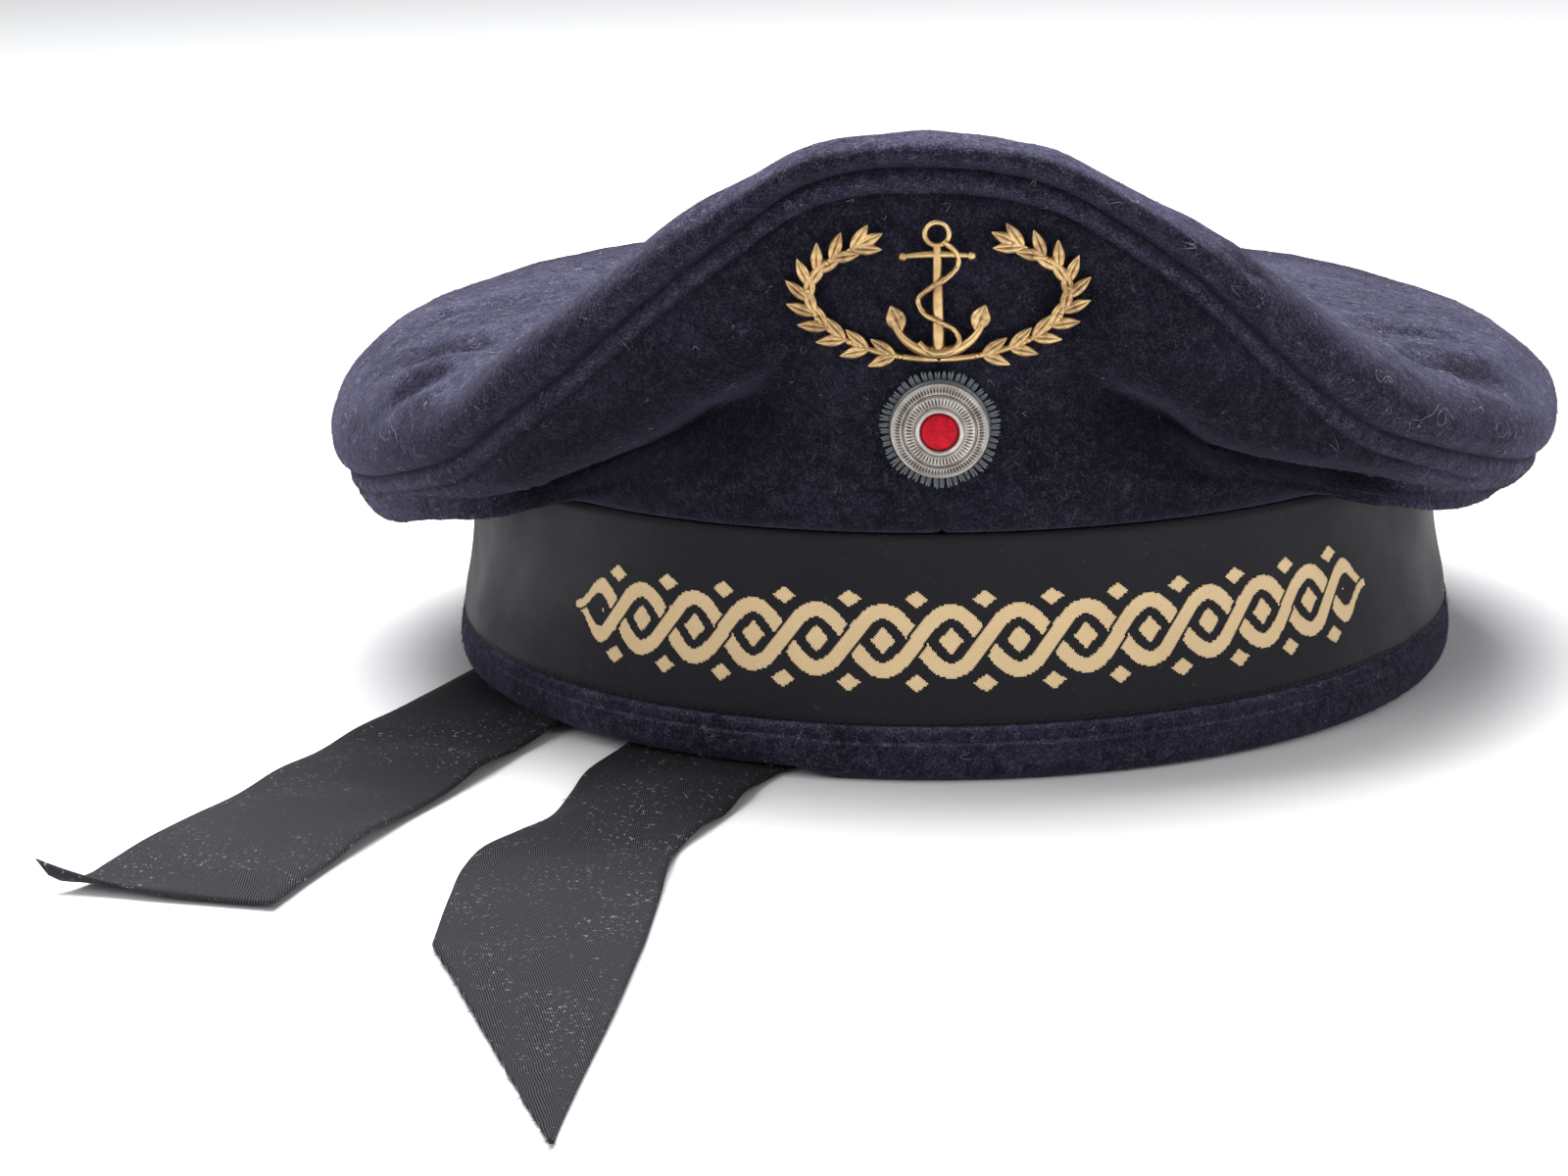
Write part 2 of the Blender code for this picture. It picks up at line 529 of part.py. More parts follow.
def build_badge(gilt, cap):
    """A gilt anchor between two laurel sprays, as one casting that bends round the front panel."""
    pieces = bpy.data.collections.new("badge_pieces")
    bpy.context.scene.collection.children.link(pieces)
    pieces.hide_render = True

    def piece(mesh):
        made = solid("badge_piece", mesh, gilt, cap)
        bpy.context.scene.collection.objects.unlink(made)
        pieces.objects.link(made)
        made.hide_render = True

    def bar(path, radii):
        mesh = bmesh.new()
        add_tube(mesh, path, radii, 8, on_wall)
        piece(mesh)

    def leaf(middle, turn, length, width, thick):
        mesh = bmesh.new()
        add_leaf(mesh, middle, turn, length, width, thick, on_wall)
        piece(mesh)

    def ahead(point, turn, reach):
        return point[0] + reach * math.cos(turn), point[1] + reach * math.sin(turn), point[2]

    for side in (-1.0, 1.0):
        stem = []
        for k in range(SPRAY_LEAVES + 1):
            turn = math.radians(SPRAY_FROM + (SPRAY_TO - SPRAY_FROM) * k / SPRAY_LEAVES)
            x, z = SPRAY_HALF_WIDTH * math.cos(turn), SPRAY_HALF_HEIGHT * math.sin(turn)
            stem.append((side * x, z - 0.6, 0.8))
        bar(stem, [0.55] * len(stem))
        for last, point in zip(stem[1:], stem[2:]):
            way = math.atan2(point[1] - last[1], point[0] - last[0])
            for turn in (way - LEAF_SPREAD, way + LEAF_SPREAD):
                leaf(ahead(point, turn, 2.1), turn, 5.6, 2.1, 1.3)
        leaf(ahead(point, way, 2.8), way, 5.8, 2.2, 1.3)

    front = 1.35
    bar([(-5.4, 6.2, front), (5.4, 6.2, front)], [0.6, 0.6])
    steps = 12
    arms = []
    for k in range(steps + 1):
        turn = math.radians(-160.0 + 140.0 * k / steps)
        arms.append((7.6 * math.cos(turn), 7.6 * math.sin(turn) - 2.2, front))
    bar(arms, [1.1 - 0.1 * abs(k - steps / 2) for k in range(steps + 1)])
    for side in (-1.0, 1.0):
        leaf((side * 6.7, -4.2, front), math.pi / 2 - side * 0.35, 5.0, 3.4, 1.6)
    ring_points = []
    for k in range(17):
        turn = math.tau * (k % 16) / 16
        row = []
        for n in range(7):
            wire = math.tau * (n % 6) / 6
            radius = 1.9 + 0.5 * math.cos(wire)
            x, z = radius * math.cos(turn), radius * math.sin(turn)
            row.append(on_wall(x, z + 9.9, front + 0.5 * math.sin(wire)))
        ring_points.append(row)
    mesh = bmesh.new()
    add_grid(mesh, ring_points)
    piece(mesh)

    mesh = bmesh.new()
    add_tube(mesh, [(0.0, 8.5, front), (0.0, -10.2, front)], [0.75, 1.1], 8, on_wall)
    badge = solid("cap_badge", mesh, gilt, cap)
    join = badge.modifiers.new("join", "BOOLEAN")
    join.operation = "UNION"
    join.solver = "EXACT"
    join.operand_type = "COLLECTION"
    join.collection = pieces


def centre_footprint(cap):
    """Moves the empty so that the middle of the whole footprint is at the frame's origin."""
    bpy.context.view_layer.update()
    graph = bpy.context.evaluated_depsgraph_get()
    corners = [
        piece.matrix_world @ Vector(corner)
        for piece in bpy.context.scene.objects
        if piece.type == "MESH" and not piece.hide_render
        for corner in piece.evaluated_get(graph).bound_box
    ]
    low = [min(corner[axis] for corner in corners) for axis in range(3)]
    high = [max(corner[axis] for corner in corners) for axis in range(3)]
    cap.location = Vector((-(low[0] + high[0]) / 2, -(low[1] + high[1]) / 2, -low[2]))


def main():
    for thing in list(bpy.data.objects):
        bpy.data.objects.remove(thing, do_unlink=True)
    cap = bpy.data.objects.new("sailor_cap", None)
    bpy.context.scene.collection.objects.link(cap)

    wool = material_of("navy_wool", (0.012, 0.012, 0.03), 0.95)
    ribbon = material_of("black_ribbon", (0.010, 0.010, 0.011), 0.6)
    gilt = material_of("worn_gilt", (0.42, 0.26, 0.09), 0.35, 1.0)
    rim_cloth = material_of("cockade_cloth", (0.02, 0.025, 0.03), 0.6)
    silver = material_of("oxidised_silver", (0.35, 0.33, 0.31), 0.45, 1.0)
    felt = material_of("red_felt", (0.55, 0.01, 0.015), 0.9)

    build_headband(wool, cap)
    build_tally(ribbon, cap)
    build_crown(wool, cap)
    build_tails(ribbon, cap)
    build_knot(ribbon, cap)
    build_badge(gilt, cap)
    build_cockade(rim_cloth, silver, felt, cap)
    centre_footprint(cap)


main()
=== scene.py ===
"""Looks of the sailor cap: felted wool, woven ribbons, gilt badge and cockade, on a pale floor.

Shapes are worked out in millimetres about the middle of the head opening, at the height of the floor, and are
then put in the frame. The cap faces -Y. Angles go round from the front, with +90 at +X.
"""
import math

import bmesh
import bpy
import numpy as np
from mathutils import Matrix, Vector, noise


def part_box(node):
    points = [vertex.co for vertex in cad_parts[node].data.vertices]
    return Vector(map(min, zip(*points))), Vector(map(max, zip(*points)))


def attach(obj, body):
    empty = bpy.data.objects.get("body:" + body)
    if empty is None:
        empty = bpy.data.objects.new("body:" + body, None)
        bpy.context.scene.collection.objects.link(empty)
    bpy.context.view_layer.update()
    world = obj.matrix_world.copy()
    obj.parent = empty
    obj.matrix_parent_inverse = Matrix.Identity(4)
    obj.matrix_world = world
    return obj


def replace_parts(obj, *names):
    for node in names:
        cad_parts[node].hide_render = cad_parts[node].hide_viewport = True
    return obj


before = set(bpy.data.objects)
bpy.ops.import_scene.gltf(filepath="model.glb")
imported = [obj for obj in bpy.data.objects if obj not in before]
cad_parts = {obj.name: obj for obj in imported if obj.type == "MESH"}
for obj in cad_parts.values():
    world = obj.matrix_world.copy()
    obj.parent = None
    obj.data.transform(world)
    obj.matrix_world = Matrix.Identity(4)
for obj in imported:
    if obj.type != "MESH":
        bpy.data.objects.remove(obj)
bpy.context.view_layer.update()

MM = 0.001
ROOT = "root"
TALLY_LOW, TALLY_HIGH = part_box("tally_ribbon")
CAP_CENTRE = Vector(((TALLY_LOW.x + TALLY_HIGH.x) / 2, (TALLY_LOW.y + TALLY_HIGH.y) / 2, 0.0))

HEAD_HALF_WIDTH = 92.0
HEAD_HALF_LENGTH = 98.0
BAND_HEIGHT = 41.3
WELT_HEIGHT = 9.0
WOOL = 1.6
BAND_WALL = 2.4
RIBBON = 0.5
TAIL = 0.45
GAP = 0.3
FRONT_MIDDLE = 0.9

# How far the ribbon's outside stands in from the head oval, by height.
FLARE = ((9.0, 0.0), (13.0, 0.4), (18.0, 1.4), (24.0, 2.3), (31.0, 2.7), (41.3, 2.3))

# The welt in section from the rim up: inset, height and bulge at the front.
WELT = (
    (1.5, 0.0, 1.4), (0.6, 0.35, 1.8), (0.05, 1.1, 2.0), (-0.4, 2.2, 1.95), (-0.62, 3.4, 1.7),
    (-0.66, 4.8, 1.35), (-0.54, 5.9, 1.0), (-0.02, 6.5, 0.8), (-0.42, 7.1, 0.6), (-0.34, 8.0, 0.4),
    (0.2, 8.75, 0.2),
)
RIM_LIFTS = ((-90.0, -10.3), (152.0, 222.0))
TAIL_CLEARANCE = 1.4

# The crown in section at each angle: angle, then radius and height of the belly, fold, lip, seam, roll and
# crest, then the heights of the top at its shoulder and half way in.
CROWN = (
    (-150, 106.0, 31.0, 108.5, 33.0, 111.0, 35.5, 114.0, 40.0, 116.5, 47.5, 108.5, 59.5, 65.5, 69.0),
    (-120, 107.0, 28.6, 109.4, 30.7, 111.6, 33.8, 114.2, 38.5, 116.2, 46.5, 107.8, 58.9, 65.7, 69.4),
    (-92, 107.6, 26.9, 109.8, 29.2, 111.4, 32.4, 113.4, 36.8, 115.4, 45.5, 106.8, 58.6, 65.8, 69.8),
    (-75, 106.2, 29.4, 108.6, 32.4, 110.4, 34.6, 112.6, 37.8, 114.8, 45.5, 105.8, 59.0, 66.5, 70.3),
    (-60, 103.2, 35.2, 104.5, 39.2, 107.6, 39.8, 110.8, 43.2, 113.2, 49.5, 105.2, 60.5, 67.0, 70.8),
    (-50, 99.6, 38.0, 98.4, 42.4, 105.8, 43.0, 109.3, 49.5, 112.0, 55.0, 104.3, 64.0, 68.0, 70.5),
    (-42, 97.2, 42.4, 93.6, 46.8, 104.8, 47.4, 108.2, 59.0, 111.0, 64.5, 103.2, 72.6, 71.5, 71.5),
    (-36, 97.0, 44.9, 91.0, 51.0, 103.9, 52.6, 107.4, 66.6, 109.8, 72.5, 102.4, 79.8, 75.0, 73.0),
    (-30, 97.5, 46.5, 90.0, 55.4, 103.0, 58.5, 106.5, 75.4, 108.6, 80.5, 101.5, 87.5, 79.5, 74.5),
    (-24, 98.0, 47.5, 91.5, 60.4, 102.0, 64.7, 105.5, 84.3, 107.2, 89.0, 100.5, 95.0, 85.5, 76.5),
    (-18, 98.5, 48.0, 94.0, 64.0, 101.0, 69.6, 105.0, 92.3, 106.2, 96.3, 100.0, 100.3, 91.0, 78.0),
    (-12, 98.8, 48.0, 97.2, 68.0, 99.6, 77.0, 104.6, 99.6, 105.7, 102.8, 99.8, 105.7, 96.0, 79.5),
    (-6, 99.2, 47.0, 99.7, 62.0, 101.4, 80.0, 104.2, 102.8, 105.2, 105.4, 99.6, 107.6, 98.8, 80.0),
    (0, 99.2, 47.0, 99.8, 62.0, 101.5, 80.0, 104.0, 103.1, 105.0, 105.8, 99.5, 108.2, 99.2, 80.0),
    (6, 99.2, 47.0, 99.7, 62.0, 101.4, 80.0, 104.2, 102.1, 105.2, 104.7, 99.6, 106.9, 98.7, 80.0),
    (12, 98.8, 48.0, 97.4, 68.0, 99.7, 77.0, 104.6, 98.7, 105.7, 102.0, 99.8, 104.8, 95.5, 79.5),
    (18, 98.5, 48.0, 93.6, 63.6, 101.0, 69.0, 104.9, 92.2, 106.2, 95.6, 100.0, 99.2, 90.5, 78.0),
    (24, 98.0, 47.5, 91.0, 59.0, 102.0, 63.2, 105.5, 84.1, 107.2, 88.1, 100.5, 93.4, 85.0, 76.5),
    (30, 97.5, 46.5, 89.6, 52.8, 103.0, 56.0, 106.5, 73.6, 108.6, 79.2, 101.5, 87.0, 79.0, 74.2),
    (36, 97.0, 45.0, 90.2, 50.2, 103.8, 51.5, 107.4, 63.6, 109.8, 70.1, 102.4, 79.5, 75.0, 73.0),
    (42, 97.2, 42.7, 92.4, 47.4, 104.7, 48.8, 108.3, 55.7, 110.8, 62.0, 103.3, 71.4, 71.5, 71.5),
    (50, 99.0, 38.8, 96.4, 43.2, 105.7, 44.9, 108.9, 49.8, 111.4, 54.5, 104.0, 64.0, 68.0, 70.5),
    (60, 101.0, 35.0, 101.0, 38.6, 106.0, 39.2, 109.0, 44.4, 111.2, 49.0, 103.0, 58.5, 64.5, 69.5),
    (75, 100.6, 31.3, 102.6, 33.6, 105.6, 34.6, 108.6, 38.6, 111.4, 46.4, 102.9, 57.4, 63.4, 68.5),
    (92, 101.4, 29.5, 104.4, 31.4, 107.0, 33.4, 109.6, 36.8, 112.4, 45.9, 103.4, 56.2, 62.4, 68.7),
    (120, 103.4, 29.5, 106.2, 31.6, 108.8, 34.2, 111.6, 38.5, 114.2, 46.0, 105.0, 56.2, 62.0, 68.2),
    (150, 105.0, 31.0, 107.5, 33.0, 110.0, 35.5, 113.0, 40.0, 115.5, 47.5, 107.5, 58.0, 62.0, 67.0),
    (180, 105.0, 32.0, 107.6, 34.0, 110.5, 36.5, 113.4, 41.0, 116.0, 48.5, 108.5, 59.0, 63.0, 67.5),
)
TOP_CENTRE_Z = 71.5

# How many rows the crown's panels have, and how far from a seam the rows close to it lie: in millimetres under
# the top seam and over it, and in degrees beside the centre seams.
SIDE_ROWS, TOP_ROWS = 72, 66
CLOSE_ROWS = 8.2
BY_SIDE_SEAM = np.array([
    0.0, 0.12, 0.3, 0.55, 0.85, 1.2, 1.7, 2.2, 2.7, 3.1, 3.45, 3.75, 4.0, 4.2, 4.4, 4.65, 5.0, 5.5, 6.2, 7.1,
])
BY_TOP_SEAM = np.array([0.0, 0.12, 0.3, 0.55, 0.85, 1.2, 1.7, 2.4, 3.1, 4.0])
BY_END_SEAM = np.array([0.0, 0.08, 0.18, 0.30, 0.48, 0.72, 1.05, 1.5, 2.1, 2.8])
SECOND_SEAM = 4.2
SHOULDER = 0.82
MIDDLE = 0.45

# Soft wrinkles of the crown: depth, half width, and the points that each runs through.
WRINKLES = (
    (1.5, 3.4, (
        (-99.0, -20.0, 62.0), (-93.9, -15.0, 64.8), (-90.0, -13.0, 66.1), (-84.5, -14.1, 67.7),
        (-80.8, -17.5, 68.3), (-77.2, -21.9, 68.3), (-72.0, -30.0, 67.8),
    )),
    (2.2, 4.0, (
        (-102.5, -33.0, 56.8), (-97.0, -36.0, 60.3), (-92.5, -40.5, 62.6), (-87.5, -44.0, 64.3),
        (-83.0, -45.9, 65.3), (-79.0, -47.6, 65.9), (-72.0, -49.4, 66.8),
    )),
    (1.7, 3.0, (
        (-99.0, -51.2, 53.5), (-94.3, -52.8, 56.5), (-89.4, -54.6, 59.4), (-85.0, -57.0, 61.4),
        (-79.5, -60.0, 63.8),
    )),
    (0.9, 2.8, ((-84.0, 3.6, 67.6), (-78.0, 1.6, 68.8), (-74.2, 0.3, 69.6), (-66.0, -3.0, 69.4))),
    (0.9, 2.4, ((-107.6, -36.5, 50.2), (-104.1, -45.6, 49.5), (-100.5, -52.5, 48.4))),
    (2.3, 4.2, (
        (73.5, -65.0, 66.3), (79.6, -57.6, 64.0), (83.3, -52.5, 62.6), (88.2, -48.3, 61.0),
        (93.7, -44.0, 58.4), (99.3, -38.5, 54.6), (103.6, -33.5, 51.4),
    )),
    (1.3, 3.0, (
        (68.0, -31.8, 65.0), (76.0, -31.6, 63.9), (85.7, -29.0, 62.5), (91.9, -26.5, 61.4),
        (99.0, -23.6, 58.2),
    )),
    (1.2, 2.3, ((89.0, -67.0, 51.8), (93.4, -61.4, 50.8), (98.2, -53.6, 50.0))),
    (0.9, 2.2, ((100.6, -47.0, 44.8), (104.3, -38.5, 44.7), (107.0, -30.6, 45.3))),
    (0.8, 1.8, ((49.2, -92.0, 87.2), (51.4, -92.9, 84.8), (53.6, -93.8, 81.2))),
    (1.2, 4.0, ((-21.0, -99.4, 84.0), (-21.5, -97.9, 77.3), (-22.9, -94.2, 69.0), (-24.0, -92.0, 62.0))),
    (1.0, 4.0, ((23.6, -99.6, 84.0), (23.9, -99.2, 81.9), (24.4, -97.3, 74.7), (26.0, -92.0, 64.0))),
)

# Where the longest loose hairs start.
LONG_HAIRS = (
    (-96.1, -58.3, 52.0), (-94.3, -61.2, 50.0), (-91.3, -21.1, 64.5), (84.0, -72.0, 57.8),
    (86.4, -70.0, 54.5), (90.2, -63.6, 54.9), (96.7, -53.0, 51.0), (73.9, -81.0, 65.1), (88.0, -58.0, 57.0),
)

# The badge and the cockade.
COCKADE_HEIGHT = 60.3
COCKADE_RADIUS = 9.8
COCKADE_STANDOFF = 0.9
BADGE_STANDOFF = 0.66
BADGE_HEIGHT = 83.0
SPRAY_HALF_WIDTH = 21.0
SPRAY_HALF_HEIGHT = 10.4
SPRAY_LEAVES = 11
SPRAY_FROM, SPRAY_TO = -97.0, 50.0
LEAF_SPREAD = 0.5
RIM_LEAVES = 104

# The tails by their two edges, from the knot to the cut: left x, y and right x, y, then the height of the
# left edge, the middle and the right edge.
NEAR_TAIL = (
    (1.5, 102.2, 14.5, 102.2, 12.2, 12.4, 12.2),
    (0.6, 101.9, 20.2, 102.2, 7.4, 7.8, 7.4),
    (0.5, 100.6, 25.9, 100.3, 4.0, 4.2, 4.0),
    (0.4, 102.8, 29.8, 97.8, 1.7, 1.8, 1.7),
    (0.7, 102.0, 31.3, 94.4, 0.9, 0.9, 0.9),
    (-0.4, 97.4, 30.4, 88.6, 0.8, 0.8, 0.8),
    (-29.1, 4.7, 1.5, -4.7, 0.8, 0.8, 0.8),
    (-55.4, -81.4, -24.8, -90.8, 0.8, 0.9, 0.8),
    (-59.6, -96.0, -29.6, -102.6, 0.9, 2.0, 1.0),
    (-60.8, -109.0, -31.6, -111.0, 0.9, 3.6, 1.9),
    (-62.4, -122.0, -34.0, -120.0, 1.0, 4.0, 0.9),
    (-66.4, -132.0, -37.2, -129.0, 1.6, 2.2, 1.6),
    (-71.2, -140.2, -40.0, -138.8, 1.3, 0.8, 0.9),
    (-73.0, -150.0, -40.7, -148.6, 1.0, 1.5, 1.6),
    (-73.2, -164.0, -40.8, -162.8, 0.8, 1.6, 0.9),
    (-72.6, -187.0, -41.1, -186.0, 0.8, 0.9, 0.8),
)
ACROSS_TAIL = np.linspace(0.0, 1.0, 23)
TAIL_WIDTH = 32.0
LOWEST = 0.62
CUT_ROWS = 42
NEAR_TIP = (-45.6, -268.2)
NEAR_RIGHT_EDGE = ((-41.1, -186.0), (-42.3, -214.0), (-44.2, -243.7), (-45.6, -268.2))
FAR_TAIL = (
    (-14.5, 102.2, -1.5, 102.2, 12.2, 12.4, 12.2),
    (-21.0, 102.4, -1.0, 102.4, 7.4, 7.8, 7.4),
    (-27.6, 102.7, -1.6, 101.7, 4.0, 4.2, 4.0),
    (-32.6, 102.4, -2.6, 100.4, 1.7, 1.8, 1.7),
    (-36.0, 101.6, -4.8, 97.2, 0.9, 0.9, 0.9),
    (-38.8, 97.9, -8.0, 89.1, 0.8, 0.8, 0.8),
    (-41.6, 91.0, -12.0, 79.0, 0.8, 0.8, 0.8),
    (-58.8, 51.0, -29.2, 39.0, 0.8, 0.8, 0.8),
    (-76.0, 5.5, -46.0, -5.5, 0.8, 0.8, 0.8),
    (-92.4, -42.0, -62.0, -52.4, 0.8, 0.8, 0.8),
    (-97.8, -57.4, -67.0, -67.6, 0.9, 1.2, 1.8),
    (-102.6, -71.4, -72.4, -81.8, 1.4, 1.0, 0.9),
    (-107.0, -84.4, -76.8, -94.8, 0.9, 1.8, 1.9),
    (-111.6, -97.6, -81.0, -108.0, 1.6, 1.2, 1.0),
    (-116.2, -111.0, -86.0, -121.4, 1.0, 1.8, 0.9),
    (-121.6, -123.6, -90.0, -134.0, 1.0, 1.4, 2.0),
    (-126.4, -137.0, -94.0, -146.8, 1.1, 1.2, 0.9),
    (-129.8, -148.6, -97.0, -158.0, 0.9, 1.4, 0.9),
    (-131.6, -154.6, -98.0, -162.2, 0.9, 1.3, 0.9),
    (-133.9, -157.9, -98.7, -165.0, 1.2, 1.2, 0.9),
    (-136.6, -158.9, -99.2, -167.4, 2.6, 1.2, 0.9),
    (-138.6, -158.2, -99.5, -168.5, 5.0, 0.9, 0.9),
)

# The woven band on the tally: where it runs, in degrees, and its size.
BRAID_FROM, BRAID_TO = -43.4, 53.1
BRAID_MIDDLE = 23.2
BRAID_HALF_HEIGHT = 4.9
BRAID_LOOPS = 14
BRAID_STRAND = 2.5
THREAD = 0.31
BRAID_TALL = 17.0
BRAID_SLANT = 0.22
BRAID_THICK = 0.14
BRAID_RADIUS = 94.0

rng = np.random.default_rng(1907)
THIN = 1.0  # share of the loose fibres that are made


# ---------------------------------------------------------------- shapes

def smooth_through(knots, at):
    """Values of a smooth curve through knots (position, value, ...) at each position asked for."""
    knots = np.asarray(knots, float)
    position, value = knots[:, 0], knots[:, 1:]
    step = np.diff(position)[:, None]
    slope = np.diff(value, axis=0) / step
    between = (slope[:-1] * step[1:] + slope[1:] * step[:-1]) / (step[1:] + step[:-1])
    tangent = np.vstack([slope[:1], between, slope[-1:]])
    at = np.atleast_1d(np.asarray(at, float))
    i = np.clip(np.searchsorted(position, at, side="right") - 1, 0, len(position) - 2)
    t = ((at - position[i]) / step[i, 0])[:, None]
    return (
        (1 + 2 * t) * (1 - t) ** 2 * value[i]
        + t * (1 - t) ** 2 * step[i] * tangent[i]
        + t * t * (3 - 2 * t) * value[i + 1]
        + t * t * (t - 1) * step[i] * tangent[i + 1]
    )


def runs(points):
    """Distance along a line of points, at each of them."""
    return np.concatenate([[0.0], np.cumsum(np.linalg.norm(np.diff(points, axis=0), axis=1))])


def along_curve(points, at):
    """Places on a smooth curve through points, by distance along them."""
    return smooth_through(np.column_stack([runs(points), points]), at)


def unit(vectors):
    return vectors / np.maximum(np.linalg.norm(vectors, axis=-1), 1e-9)[..., None]


def bell(value, width):
    return np.exp(-((value / width) ** 2))


def fade(value, low, high):
    share = np.clip((value - low) / (high - low), 0.0, 1.0)
    return share * share * (3.0 - 2.0 * share)


def put(place):
    """A place in millimetres about the cap's middle, in the frame."""
    return Vector(place) * MM + CAP_CENTRE


def evenly_through(knots, count):
    """A smooth curve through knots, with the same number of steps between each two."""
    last = len(knots) - 1
    return smooth_through(np.column_stack([np.arange(last + 1), knots]), np.linspace(0, last, count))


def crown_row(angle):
    """Belly, fold, lip, seam, roll and crest at an angle, and the heights of the shoulder and half way in."""
    angle = (angle + 180.0) % 360.0 - 180.0
    table = np.array(CROWN)
    before, after = table[-3:].copy(), table[:3].copy()
    before[:, 0] -= 360.0
    after[:, 0] += 360.0
    values = smooth_through(np.vstack([before, table, after]), angle)[0]
    return *values[:12].reshape(6, 2), values[12], values[13]


def head_radius(angle):
    side = HEAD_HALF_LENGTH * math.sin(math.radians(angle))
    front = HEAD_HALF_WIDTH * math.cos(math.radians(angle))
    return HEAD_HALF_WIDTH * HEAD_HALF_LENGTH / math.hypot(side, front)


INSET_HEIGHTS = np.linspace(FLARE[0][0], FLARE[-1][0], 130)
INSETS = smooth_through(FLARE, INSET_HEIGHTS)[:, 0]


def ribbon_inset(height):
    return float(np.interp(height, INSET_HEIGHTS, INSETS))


def around(angle, section):
    """A section of radius, height rows as points at an angle."""
    turn = math.radians(angle)
    section = np.asarray(section, float)
    return np.column_stack([section[:, 0] * math.sin(turn), -section[:, 0] * math.cos(turn), section[:, 1]])


def spot_at(angle, radius, height):
    return around(angle, [(radius, height)])[0]


def from_axis(points):
    return np.hypot(points[:, :, 0], points[:, :, 1])


def outwards(low, high):
    """The way out of the cloth between two places in section."""
    along = unit(high - low)
    return np.array([along[1], -along[0]])


def side_section(angle):
    """Outside of a side panel, from the headband's top to the seam, with its rows close at the seam."""
    belly, fold, lip, seam, roll = crown_row(angle)[:5]
    head = head_radius(angle)
    under = lip + 0.25 * (fold - lip) - (0.0, 0.09 * (lip[0] - fold[0]))
    foot = ((head - 5.4, BAND_HEIGHT + 0.4), (head - 1.2, BAND_HEIGHT + 0.7))
    knots = np.array([*foot, belly, fold, under, lip, seam])
    whole = runs(knots)[-1]
    below = np.linspace(0.0, whole - CLOSE_ROWS, SIDE_ROWS - len(BY_SIDE_SEAM))
    at = np.concatenate([below, (whole - BY_SIDE_SEAM)[::-1]])
    return along_curve(knots, at), whole - at, outwards(lip, roll)


def top_section(angle):
    """Outside of the top, from the seam over the rolled edge to the middle."""
    _, _, lip, seam, roll, crest, shoulder, middle = crown_row(angle)
    other_crest, other_middle = crown_row(angle + 180.0)[5][0], crown_row(angle + 180.0)[7]
    knots = np.array([
        seam, roll, crest, (crest[0] * SHOULDER, shoulder), (crest[0] * MIDDLE, middle), (0.0, TOP_CENTRE_Z),
        (-other_crest * MIDDLE, other_middle),
    ])
    first = BY_TOP_SEAM[-1]
    rest = np.linspace(0.0, 1.0, TOP_ROWS - len(BY_TOP_SEAM) + 1)[1:]
    at = np.concatenate([BY_TOP_SEAM, first + (runs(knots)[5] - first) * (0.55 * rest + 0.45 * rest**2)])
    points = along_curve(knots, at)
    points[-1] = (0.0, TOP_CENTRE_Z)
    return points, at, outwards(lip, roll)


def grid_normals(points, closed):
    """Outward unit normals of a grid whose first direction goes round the cap."""
    if closed:
        loop = points[:-1]
        round_way = np.roll(loop, -1, 0) - np.roll(loop, 1, 0)
        round_way = np.concatenate([round_way, round_way[:1]])
    else:
        round_way = np.gradient(points, axis=0)
    return unit(np.cross(round_way, np.gradient(points, axis=1)))


def way_to(points, path):
    """Distance from each point to a line of points, and how far along it (0 to 1) the nearest place is."""
    path = np.asarray(path, float)
    best, along = np.full(points.shape[:-1], 1e9), np.zeros(points.shape[:-1])
    for k, (a, b) in enumerate(zip(path[:-1], path[1:])):
        side = b - a
        share = np.clip(((points - a) @ side) / (side @ side), 0.0, 1.0)
        away = np.linalg.norm(points - a - share[..., None] * side, axis=-1)
        along = np.where(away < best, (k + share) / (len(path) - 1), along)
        best = np.minimum(best, away)
    return best, along


def lumps(points, size, seed):
    """Soft uneven heights, from -1 to 1, over a grid of points."""
    flat = points.reshape(-1, 3) / size + seed
    return np.array([noise.noise(Vector(p)) for p in flat]).reshape(points.shape[:-1])


# ---------------------------------------------------------------- meshes

def lay_grid(mesh, points, uv=None, painted_light_and_wear=None):
    """Adds a grid of faces on points[i][j], with its UVs and its painted light and shade, where given, and
    welds it.
    """
    points = np.asarray(points, float)
    across, along = points.shape[0] - 1, points.shape[1] - 1
    layer = mesh.loops.layers.uv.verify()
    # The float layer holds painted light and shade: 0 is painted shade, 1 is painted light.
    painted_light_layer = mesh.verts.layers.float.new("painted_light_and_wear") if painted_light_and_wear is not None else None
    made = bmesh.ops.create_grid(mesh, x_segments=across, y_segments=along, size=1.0, calc_uvs=True)["verts"]
    if uv is not None:
        for face in mesh.faces:
            for loop in face.loops:
                i, j = round(loop[layer].uv.x * across), round(loop[layer].uv.y * along)
                loop[layer].uv = Vector(uv[i][j]) * MM
    for vertex in made:
        i, j = round((vertex.co.x + 1.0) / 2.0 * across), round((vertex.co.y + 1.0) / 2.0 * along)
        vertex.co = put(points[i, j])
        if painted_light_layer is not None:
            vertex[painted_light_layer] = painted_light_and_wear[i, j]
    bmesh.ops.remove_doubles(mesh, verts=made, dist=1e-6)


def in_scene(name, data):
    thing = bpy.data.objects.new(name, data)
    bpy.context.scene.collection.objects.link(thing)
    return thing


def riding_piece(name, data, material):
    data.materials.append(material)
    data.shade_smooth()
    piece = in_scene(name, data)
    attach(piece, ROOT)
    return piece


def data_of(name, mesh):
    data = bpy.data.meshes.new(name)
    mesh.to_mesh(data)
    mesh.free()
    return data


